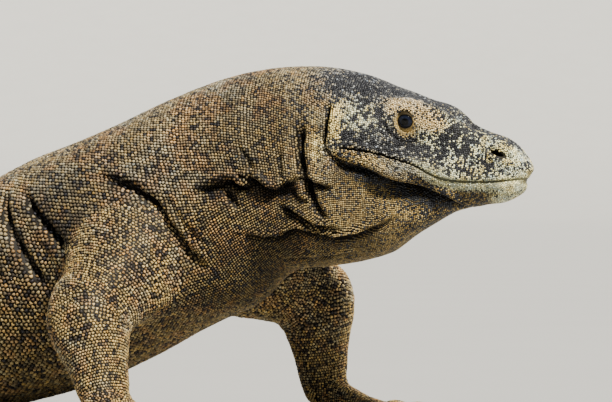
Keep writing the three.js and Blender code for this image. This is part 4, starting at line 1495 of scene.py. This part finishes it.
def leg_parts(leg):
    """The parts of a leg: for each its surface, its roots' two parameters there and their
    spacing. Shafts, palm and toes have lattices, and the elbow, knee and ends have spirals."""
    coarse = HIND_FACTOR if leg.hind else 1.0
    parts = []
    for i, segment in enumerate(leg.segments):
        pitch = LIMB_SPACING[i] * coarse
        surface = partial(leg_surface, leg, i)
        along, around = lattice(segment.length, math.pi * sum(segment.half_widths(0.35)), pitch)
        v, turn = cap_spiral(float(segment.half_widths(1.0)[0]), pitch)
        parts += [(surface, along, 2 * math.pi * around, pitch), (surface, v, turn, pitch)]
    parts.append((surface, 1 - v, turn, pitch))
    pitch = PALM_SPACING * coarse
    along, around = lattice(leg.palm_rows[-1][0] + 6, 2 * math.pi * 24, pitch)
    parts.append((partial(palm_surface, leg), along * 1.05 - 0.02, 2 * math.pi * around, pitch))
    pitch = TOE_SPACING * coarse
    for digit in leg.digits:
        along, around = lattice(digit[1] + 14, 2 * math.pi * 8.2, pitch)
        parts.append((partial(toe_surface, leg, digit), along * 1.04, 2 * math.pi * around, pitch))
    return parts


def leg_patches(rng):
    """Scales of the legs, palms and toes, a little out of line, with the unwrap of each part in
    its own cell of four by three."""
    patches = []
    for leg in LEGS:
        found = []
        for number, (surface, first, second, pitch) in enumerate(leg_parts(leg)):
            first = first + rng.normal(0, 0.0015, first.shape)
            second = second + rng.normal(0, 0.012, first.shape)
            points, back, out = directions(surface, first, second, 0.01, 0.02)
            out = out * np.sign(((points - points.mean(0)) * out).sum())
            place = np.stack([(second / (2 * math.pi)) % 1, along_unit(first)], -1)
            unwrap = (np.array([number % 4, number // 4]) + 0.05 + 0.9 * place) / [4, 3]
            every = np.ones(len(points))
            found.append((every * number, second, points, back, out, every * pitch, unwrap))
        name = ("hind" if leg.hind else "fore") + "leg_scales_" + SIDE_NAME[leg.side]
        patches.append(Patch(name, *(np.concatenate(x) for x in zip(*found))))
    return patches


def along_unit(values):
    """Values moved and scaled to run from 0 to 1."""
    low, high = values.min(), values.max()
    return (values - low) / max(high - low, 1e-9)


def settle_on_skin(points, skin):
    """Each point moved to the nearest place on the skin, by a shrinkwrap, and how far it went."""
    mesh = bpy.data.meshes.new("roots")
    mesh.vertices.add(len(points))
    write_points(mesh, points)
    holder = bpy.data.objects.new("roots", mesh)
    bpy.context.scene.collection.objects.link(holder)
    wrap = holder.modifiers.new("wrap", "SHRINKWRAP")
    wrap.target = skin
    wrap.wrap_method = "NEAREST_SURFACEPOINT"
    graph = bpy.context.evaluated_depsgraph_get()
    moved = read_points(holder.evaluated_get(graph).to_mesh())
    bpy.data.objects.remove(holder)
    bpy.data.meshes.remove(mesh)
    return moved, np.linalg.norm(moved - points, axis=-1)


def scale_shapes(patch, reach, tile, head, settings, rng):
    """The corners of every scale as offsets back and across, and how far each stands out: the
    outline reaches to the cell's edge, a little longer than wide on the throat, and the top is
    the outline drawn in and moved back."""
    number = len(patch.points)
    size = settings.scale_size * (0.95 + 0.08 * rng.random(number))
    tall = patch.pitch * settings.scale_height * (0.85 + 0.3 * rng.random(number)) * (RISE[0] - RISE[1] * head)
    circle_way = np.stack([np.cos(tile.angles), np.sin(tile.angles)], -1)
    outline = circle_way * (reach * size[:, None])[..., None]
    if "leg" not in patch.name:
        s, turn, _ = body_place(patch.points)
        throat = throat_share(s, np.abs(turn) / DEGREE)[:, None, None]
        outline = outline * (1 + np.array([0.06, -0.22]) * throat)
    turned = (rng.random(number) < 0.5)[:, None, None]
    outline = np.where(turned, np.roll(outline, 1, axis=1), outline)
    drift = np.array([0.07, 0.0]) * patch.pitch[:, None, None]
    top = tile.top_corners(outline) * (0.78 if tile.tops == 6 else 0.84) + drift
    rise_by = np.repeat([-SINK, 1.0], [6, tile.tops]) * tall[:, None]
    return np.concatenate([outline, top], 1), rise_by


MOST_TRIANGLES = 194000  # in one piece


def scale_tones(patch, rng):
    """The colour of each scale's top and how pale its foot is, with a chance draw of how light
    it is and how warm, darkened in deep folds as painted shade."""
    number = len(patch.points)
    head = np.zeros(number)
    bare = np.zeros(number)
    if "leg" in patch.name:
        light, dark = leg_markings(patch.points)
    else:
        s, turn, radius = body_place(patch.points)
        light, dark = body_markings(s, turn, patch.points)
        # Scales sunk in the folds are darkened by their depth: painted shade.
        shade_depth = np.clip(body_radius(s, turn) - COAT - radius - 1.2, 0, 12)
        light = light * np.exp(-shade_depth / 3.2)[:, None]
        bare = lip_share(s, *above_mouth(patch.points))
        head = np.clip((222 - s) / 50, 0, 1)
    shade = rng.random(number)
    warm = rng.normal(0, 0.10, number)
    light = light * np.stack([1 + 0.6 * warm, 1 + 0 * warm, 1 - 1.3 * warm], -1)
    strength = 0.30 + 0.05 * head + (1.0 - 0.02 * head) * shade ** (1.4 - 0.2 * head)
    tone = SLATE * (1 - np.minimum(strength, 1))[:, None] + light * strength[:, None]
    dull = light + (ASH - light) * head[:, None]
    dull = SLATE + dull * (0.03 + (0.13 + 0.12 * head) * shade**2)[:, None]
    return np.where((rng.random(number) < dark)[:, None], dull, tone), bare, head


def scale_meshes(patch, skin, material, taken, rng, settings):
    """Joined scales: corners out to each root's cell and a raised top, with colours and one
    small patch of the unwrap for each. Gives back the roots' places."""
    tile = Tile(6 if "head" in patch.name else 3)
    in_leg = "leg" in patch.name
    if not in_leg:
        reach = patch.cells(patch.ring_neighbours(), tile.angles)
    places, gone = settle_on_skin(patch.points, skin)
    buried = ((places - patch.points) * patch.out).sum(-1) > 0
    keep = np.where(buried, gone < 2.0, gone < 10.0) & ~in_opening(places)
    patch.points = places
    patch.keep(keep)
    if in_leg:
        patch.keep(not_crowded(patch.points, patch.pitch, taken))
        reach = patch.cells(nearest_roots(patch.points, patch.points, 9)[0], tile.angles)
    else:
        reach = reach[keep]
    points, out, pitch = patch.points, patch.out[:, None], patch.pitch[:, None, None]
    back = unit(patch.back[:, None] - (patch.back[:, None] * out).sum(-1, keepdims=True) * out)
    number = len(points)
    colour, bare, head = scale_tones(patch, rng)
    flat, rise_by = scale_shapes(patch, reach, tile, head, settings, rng)
    placed = points[:, None] + flat[..., :1] * back + flat[..., 1:] * np.cross(out, back)
    placed = placed + rise_by[..., None] * out
    placed[..., 2] = np.maximum(placed[..., 2], 0.05)
    # Each scale is dark at its foot, like the dark skin between scales, and a fifth brighter than its colour
    # on top: a painted highlight on each bead.
    foot = colour[:, None] * (0.05 + 0.5 * bare[:, None, None]) + BLACK * 0.5
    tone = np.concatenate([np.repeat(foot, 6, 1), np.repeat(colour[:, None] * 1.2, tile.tops, 1)], 1)
    tone = tone / np.maximum(tone.max(-1, keepdims=True) / BRIGHTEST, 1)
    parts = math.ceil(number * len(tile.faces) / MOST_TRIANGLES)
    for part, chosen in enumerate(np.array_split(np.arange(number), parts)):
        name = patch.name if parts == 1 else f"{patch.name}_{part + 1}"
        start = np.arange(len(chosen))[:, None, None] * (6 + tile.tops)
        faces = (tile.faces + start).reshape(-1, 3)
        made = new_mesh(name, placed[chosen], faces)
        store_colour(made.data, "hide", tone[chosen].reshape(-1, 3))
        root = 0.005 + 0.99 * np.stack([along_unit(x) for x in patch.unwrap[chosen].T], -1)
        corners = root[:, None] + flat[chosen] / pitch[chosen] * UNWRAP_SIZE
        uv = made.data.uv_layers.new(name="OFBake")
        uv.data.foreach_set("uv", corners.reshape(-1, 2)[faces.ravel()].astype(np.float32).ravel())
        made.data.materials.append(material)
        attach(made, "root")
    return points


# ---- Add-on ----


class DragonHide(bpy.types.PropertyGroup):
    """How the hide and its scales look."""

    roughness: bpy.props.FloatProperty(
        name="Roughness",
        description="How dull the hide is",
        default=0.52,
        min=0,
        max=1,
        subtype="FACTOR",
    )
    scale_size: bpy.props.FloatProperty(
        name="Scale size",
        description="Width of a scale as a share of the distance between scales",
        default=0.98,
        min=0.5,
        max=1.2,
        subtype="FACTOR",
    )
    scale_height: bpy.props.FloatProperty(
        name="Scale height",
        description="Height of a scale, where 1 is a third of the distance between scales",
        default=1.0,
        min=0.2,
        max=2,
    )
    seed: bpy.props.IntProperty(name="Seed", description="Start of the random draws", default=11)


class DragonEye(bpy.types.PropertyGroup):
    """The eyes' colour and pupil."""

    iris: bpy.props.FloatVectorProperty(
        name="Iris",
        description="Colour of the iris",
        default=(0.0022, 0.0032, 0.0085),
        size=3,
        subtype="COLOR",
    )
    pupil_size: bpy.props.FloatProperty(
        name="Pupil size", description="Half width of the pupil", default=0.0034, unit="LENGTH"
    )


class DragonStage(bpy.types.PropertyGroup):
    """Floor, light and camera."""

    sky: bpy.props.FloatProperty(
        name="Sky", description="Brightness of the light from all round", default=0.40
    )
    floor_colour: bpy.props.FloatVectorProperty(
        name="Floor", description="Colour of the floor", default=(0.36, 0.36, 0.35), size=3, subtype="COLOR"
    )
    camera_azimuth: bpy.props.FloatProperty(
        name="Camera azimuth",
        description="Direction that the camera looks from, from the animal's right towards its front",
        default=math.radians(30),
        subtype="ANGLE",
    )
    camera_distance: bpy.props.FloatProperty(
        name="Camera distance", description="From the head to the camera", default=3.5, unit="LENGTH"
    )
    camera_height: bpy.props.FloatProperty(
        name="Camera height", description="Height of the camera over the floor", default=0.22, unit="LENGTH"
    )
    lens: bpy.props.FloatProperty(name="Lens", description="Focal length in millimetres", default=214.5)


class DRAGON_OT_skin(bpy.types.Operator):
    """One skin in place of the nodes of flesh, with folds, lips and eyelids"""

    bl_idname = "dragon.skin"
    bl_label = "Skin"

    def execute(self, context):
        skin = closed_tube("skin", *(body_surface(s, turn) for s, turn in body_grids()))
        parts = [mesh for leg in LEGS for mesh in limb_meshes(leg)]
        parts += [lid_mesh(side) for side in SIDE_NAME]
        join_and_cut(skin, parts, [nostril_mesh(side) for side in SIDE_NAME])
        soften_joins(skin.data)
        colour_skin(skin.data)
        skin.data.materials.clear()
        skin.data.materials.append(hide_material("skin between scales", context.scene.dragon_hide, False))
        skin.data.polygons.foreach_set("use_smooth", np.ones(len(skin.data.polygons), bool))
        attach(skin, "root")
        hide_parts(*FLESH)
        return {"FINISHED"}


def colour_skin(mesh):
    """The skin's colours: the same markings as the scales on it, much darkened between them but
    bare and pale on the lips and eyelids, with the top of each lid ring darkened as the brow's painted shadow,
    and near black as painted shade in the nostrils and deep folds."""
    points = read_points(mesh)
    s, turn, out = body_place(points)
    light, _ = body_markings(s, turn, points)
    bare = 0.014 + 0.30 * lip_share(s, *above_mouth(points))
    for side in (-1, 1):
        centre, outward_way, _, up = eye_frame(side)
        rel = points - centre
        ring = ramp(np.linalg.norm(rel - outward_way * 4, axis=-1), 12.5, 10)
        edge = np.clip((np.linalg.norm(rel, axis=-1) - EYE_RADIUS - 0.4) / 0.6, 0.08, 1)
        light = tinted(light, [(OCHRE * 1.3, ring)])
        # The top of the lid ring is darkened: painted shadow of the brow.
        bare = np.maximum(bare, 0.7 * ring * edge * (1 - 0.93 * ramp(rel @ up, 2, 5)))
    radius = body_radius(s, turn)
    # Painted shade: near black in the nostrils and deep folds of the head, but not round the eyes.
    deep = ramp(radius - COAT - out, 2.0, 4.5) * (s < 200)
    eye = np.hypot(s - EYE_AT, (np.abs(turn) / DEGREE - EYE_TURN) * radius * DEGREE) < 13
    bare = (bare * (1 - deep * ~eye))[:, None]
    store_colour(mesh, "hide", light * bare + BLACK * (1 - bare))


class DRAGON_OT_scales(bpy.types.Operator):
    """Scales over the whole skin, as joined solid meshes"""

    bl_idname = "dragon.scales"
    bl_label = "Scales"

    def execute(self, context):
        settings = context.scene.dragon_hide
        rng = np.random.default_rng(settings.seed)
        material = hide_material("scales", settings, True)
        skin = bpy.data.objects["skin"]
        taken = np.zeros((0, 3))
        for patch in body_patches(rng) + leg_patches(rng):
            found = scale_meshes(patch, skin, material, taken, rng, settings)
            taken = np.concatenate([taken, found])
        return {"FINISHED"}


def eye_mesh(side):
    """An eyeball whose front bulges a little over the iris: radius times one plus a bell of the
    angle from its outward axis."""
    centre, outward_way, along, up = eye_frame(side)
    angle, u = np.broadcast_arrays(np.linspace(0.02, math.pi - 0.02, 40)[:, None], circle(48))
    radius = (EYE_RADIUS - 0.1) * (1 + 0.035 * bell(angle, 0, 0.42))
    points = centre + radius[..., None] * round_axis(outward_way, along, up, angle, u)
    return closed_tube(f"eyeball_{SIDE_NAME[side]}", points), centre, outward_way


# The iris, in metres: how soft the pupil's edge is, how far from it the lighter ring lies, and
# where the dark rim starts and ends.
PUPIL_EDGE = 0.0005
IRIS_RING = 0.0007
IRIS_RIM = (0.0062, 0.0068)


def eye_colours(mesh, centre, outward_way, settings):
    """Black pupil, dark iris with a lighter inner ring, and darker outer rim, by the distance
    from the outward axis."""
    rel = read_points(mesh) - centre
    depth = (rel @ outward_way)[:, None]
    out = np.linalg.norm(rel - depth * outward_way, axis=-1, keepdims=True) / 1000
    iris = np.array(settings.iris)
    share = ramp(out, settings.pupil_size, settings.pupil_size + PUPIL_EDGE)
    ring = bell(out, settings.pupil_size + IRIS_RING, PUPIL_EDGE)
    tone = iris * share * (1 + ring) * (1 - 0.8 * ramp(out, *IRIS_RIM))
    store_colour(mesh, "iris", np.where(depth > 0, tone, iris * 0.3) + 0.0015)


def eye_material():
    """Wet eye: the iris colours under a clear gloss."""
    finish = Finish("wet eye", 0.06, 0.16)
    finish.mottle("iris", finish.noise(1500.0), To_Min=0.5, To_Max=1.5)
    return finish.material


class DRAGON_OT_eyes(bpy.types.Operator):
    """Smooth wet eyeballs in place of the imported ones"""

    bl_idname = "dragon.eyes"
    bl_label = "Eyes"

    def execute(self, context):
        material = eye_material()
        for side in SIDE_NAME:
            ball, centre, outward_way = eye_mesh(side)
            eye_colours(ball.data, centre, outward_way, context.scene.dragon_eye)
            ball.data.materials.append(material)
            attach(ball, "root")
            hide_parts(f"eye_{SIDE_NAME[side]}")
        return {"FINISHED"}


def claw_surface(leg, digit, v, turn):
    """A claw: ellipses on an arch that rises, then falls to the floor at the tip, narrowing
    faster near the end, with its root inside the toe. Its rows are share of the length, height,
    and half width and half height as shares of the claw's radius."""
    knuckle, aim, _, reach = toe_spec(leg, digit)
    v, turn = np.broadcast_arrays(np.asarray(v, float), np.asarray(turn, float))
    r = TOE_RADIUS
    rows = [
        (-0.12, r * 0.86, 0.8, 1.0),
        (0.0, r * 0.88, 0.8, 1.0),
        (0.35, r * 0.9 + CLAW_RISE * 0.6, 0.66, 0.86),
        (0.75, r * 0.6 + CLAW_RISE * 0.2, 0.38, 0.5),
        (1.0, 0.9, 0.09, 0.12),
    ]
    row = through(rows, v)
    ahead, left = level_ways(aim)
    points = knuckle * [1, 1, 0] + (reach + GAP + v * CLAW_LENGTH)[..., None] * ahead
    points = points + (np.cos(turn) * row[..., 2] * CLAW_RADIUS)[..., None] * left
    points[..., 2] = np.maximum(row[..., 1] + np.sin(turn) * row[..., 3] * CLAW_RADIUS, 0.02)
    return points


class DRAGON_OT_claws(bpy.types.Operator):
    """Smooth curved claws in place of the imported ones"""

    bl_idname = "dragon.claws"
    bl_label = "Claws"

    def execute(self, context):
        material = two_shade_material("dark horn", (0.022, 0.018, 0.014), 0.32, 160.0, 0.5)
        v = np.linspace(-0.12, 1, 18)[:, None]
        for leg in LEGS:
            word = "toe" if leg.hind else "finger"
            for i, digit in enumerate(leg.digits):
                name = f"{word}_claw_{SIDE_NAME[leg.side]}_{i + 1}"
                claw = closed_tube(f"smooth_{name}", claw_surface(leg, digit, v, circle(16)))
                claw.data.materials.append(material)
                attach(claw, "root")
                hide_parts(name)
        return {"FINISHED"}


# The floor's outline from the middle outwards: distance and height in metres. It curves up into
# a wall far off, so that no edge shows.
BOWL_ROWS = [(0.001, 0), (2, 0), (10, 0), (30, 0), (45, 0), (55, 1.2), (64, 5), (70, 12), (73, 22), (74, 34)]

SKY_COLOUR = (0.72, 0.84, 1.0, 1)
# Lights: name, direction that they come from, spread in degrees, power, colour.
LIGHTS = [
    ("key", (0.62, -0.28, 0.74), 7, 12.5, (1.0, 0.94, 0.82)),
    ("fill", (-0.5, -0.8, 0.35), 40, 0.35, (0.85, 0.92, 1.0)),
]

HEAD_MIDDLE = np.array([186.0, 26.0])  # the point that the camera's distance is measured to
VIEW_SHIFT = 0.02112  # how far the camera stands to the left of that point, in metres


def floor_mesh():
    """The floor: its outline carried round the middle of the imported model."""
    rows = np.array(BOWL_ROWS) * 1000.0
    u = circle(96)
    ring = np.stack([np.cos(u), np.sin(u)], -1)
    heights = np.broadcast_to(rows[:, None, 1:], (len(rows), len(u), 1))
    points = np.concatenate([rows[:, None, :1] * ring, heights], -1) - [*ORIGIN[:2] * 1000, 0]
    return new_mesh("floor", points, grid_faces(len(rows), len(u))[:, ::-1])


class DRAGON_OT_stage(bpy.types.Operator):
    """Pale floor, soft lights and the camera"""

    bl_idname = "dragon.stage"
    bl_label = "Stage"

    def execute(self, context):
        settings = context.scene.dragon_stage
        floor = floor_mesh()
        floor.data.materials.append(two_shade_material("pale floor", settings.floor_colour, 0.9, 3.0, 0.012))
        world = bpy.data.worlds.new("studio")
        context.scene.world = world
        world.use_nodes = True
        background = world.node_tree.nodes["Background"]
        background.inputs["Color"].default_value = SKY_COLOUR
        background.inputs["Strength"].default_value = settings.sky
        for name, way, spread, power, colour in LIGHTS:
            lamp = bpy.data.lights.new(name, "SUN")
            lamp.angle = math.radians(spread)
            lamp.energy = power
            lamp.color = colour
            holder = bpy.data.objects.new(name, lamp)
            context.scene.collection.objects.link(holder)
            holder.rotation_euler = Vector(way).to_track_quat("Z", "Y").to_euler()
        add_camera(context, settings)
        return {"FINISHED"}


def add_camera(context, settings):
    """A level camera at the given azimuth, distance and height."""
    right, ahead = level_ways(settings.camera_azimuth)
    place = HEAD_MIDDLE / 1000 + ORIGIN[:2] - ahead[:2] * settings.camera_distance - right[:2] * VIEW_SHIFT
    data = bpy.data.cameras.new("camera")
    data.lens = settings.lens
    data.sensor_width = 36.0
    data.clip_end = 200
    camera = bpy.data.objects.new("camera", data)
    context.scene.collection.objects.link(camera)
    camera.location = (*place, settings.camera_height)
    camera.rotation_euler = (math.pi / 2, 0, settings.camera_azimuth)
    context.scene.camera = camera


class DRAGON_PT_panel(bpy.types.Panel):
    """The dragon's pieces, in the order that they are made"""

    bl_label = "Komodo dragon"
    bl_idname = "DRAGON_PT_panel"
    bl_space_type = "VIEW_3D"
    bl_region_type = "UI"
    bl_category = "Dragon"

    def draw(self, context):
        for operator in OPERATORS:
            self.layout.operator(operator.bl_idname)


OPERATORS = [DRAGON_OT_skin, DRAGON_OT_scales, DRAGON_OT_eyes, DRAGON_OT_claws, DRAGON_OT_stage]
GROUPS = {"dragon_hide": DragonHide, "dragon_eye": DragonEye, "dragon_stage": DragonStage}


def register():
    for group in GROUPS.values():
        bpy.utils.register_class(group)
    for name, group in GROUPS.items():
        setattr(bpy.types.Scene, name, bpy.props.PointerProperty(type=group))
    for operator in OPERATORS:
        bpy.utils.register_class(operator)
    bpy.utils.register_class(DRAGON_PT_panel)


def unregister():
    bpy.utils.unregister_class(DRAGON_PT_panel)
    for operator in reversed(OPERATORS):
        bpy.utils.unregister_class(operator)
    for name in GROUPS:
        delattr(bpy.types.Scene, name)
    for group in reversed(GROUPS.values()):
        bpy.utils.unregister_class(group)


def main():
    register()
    bpy.ops.dragon.skin()
    bpy.ops.dragon.scales()
    bpy.ops.dragon.eyes()
    bpy.ops.dragon.claws()
    bpy.ops.dragon.stage()


if __name__ == "__main__":
    main()
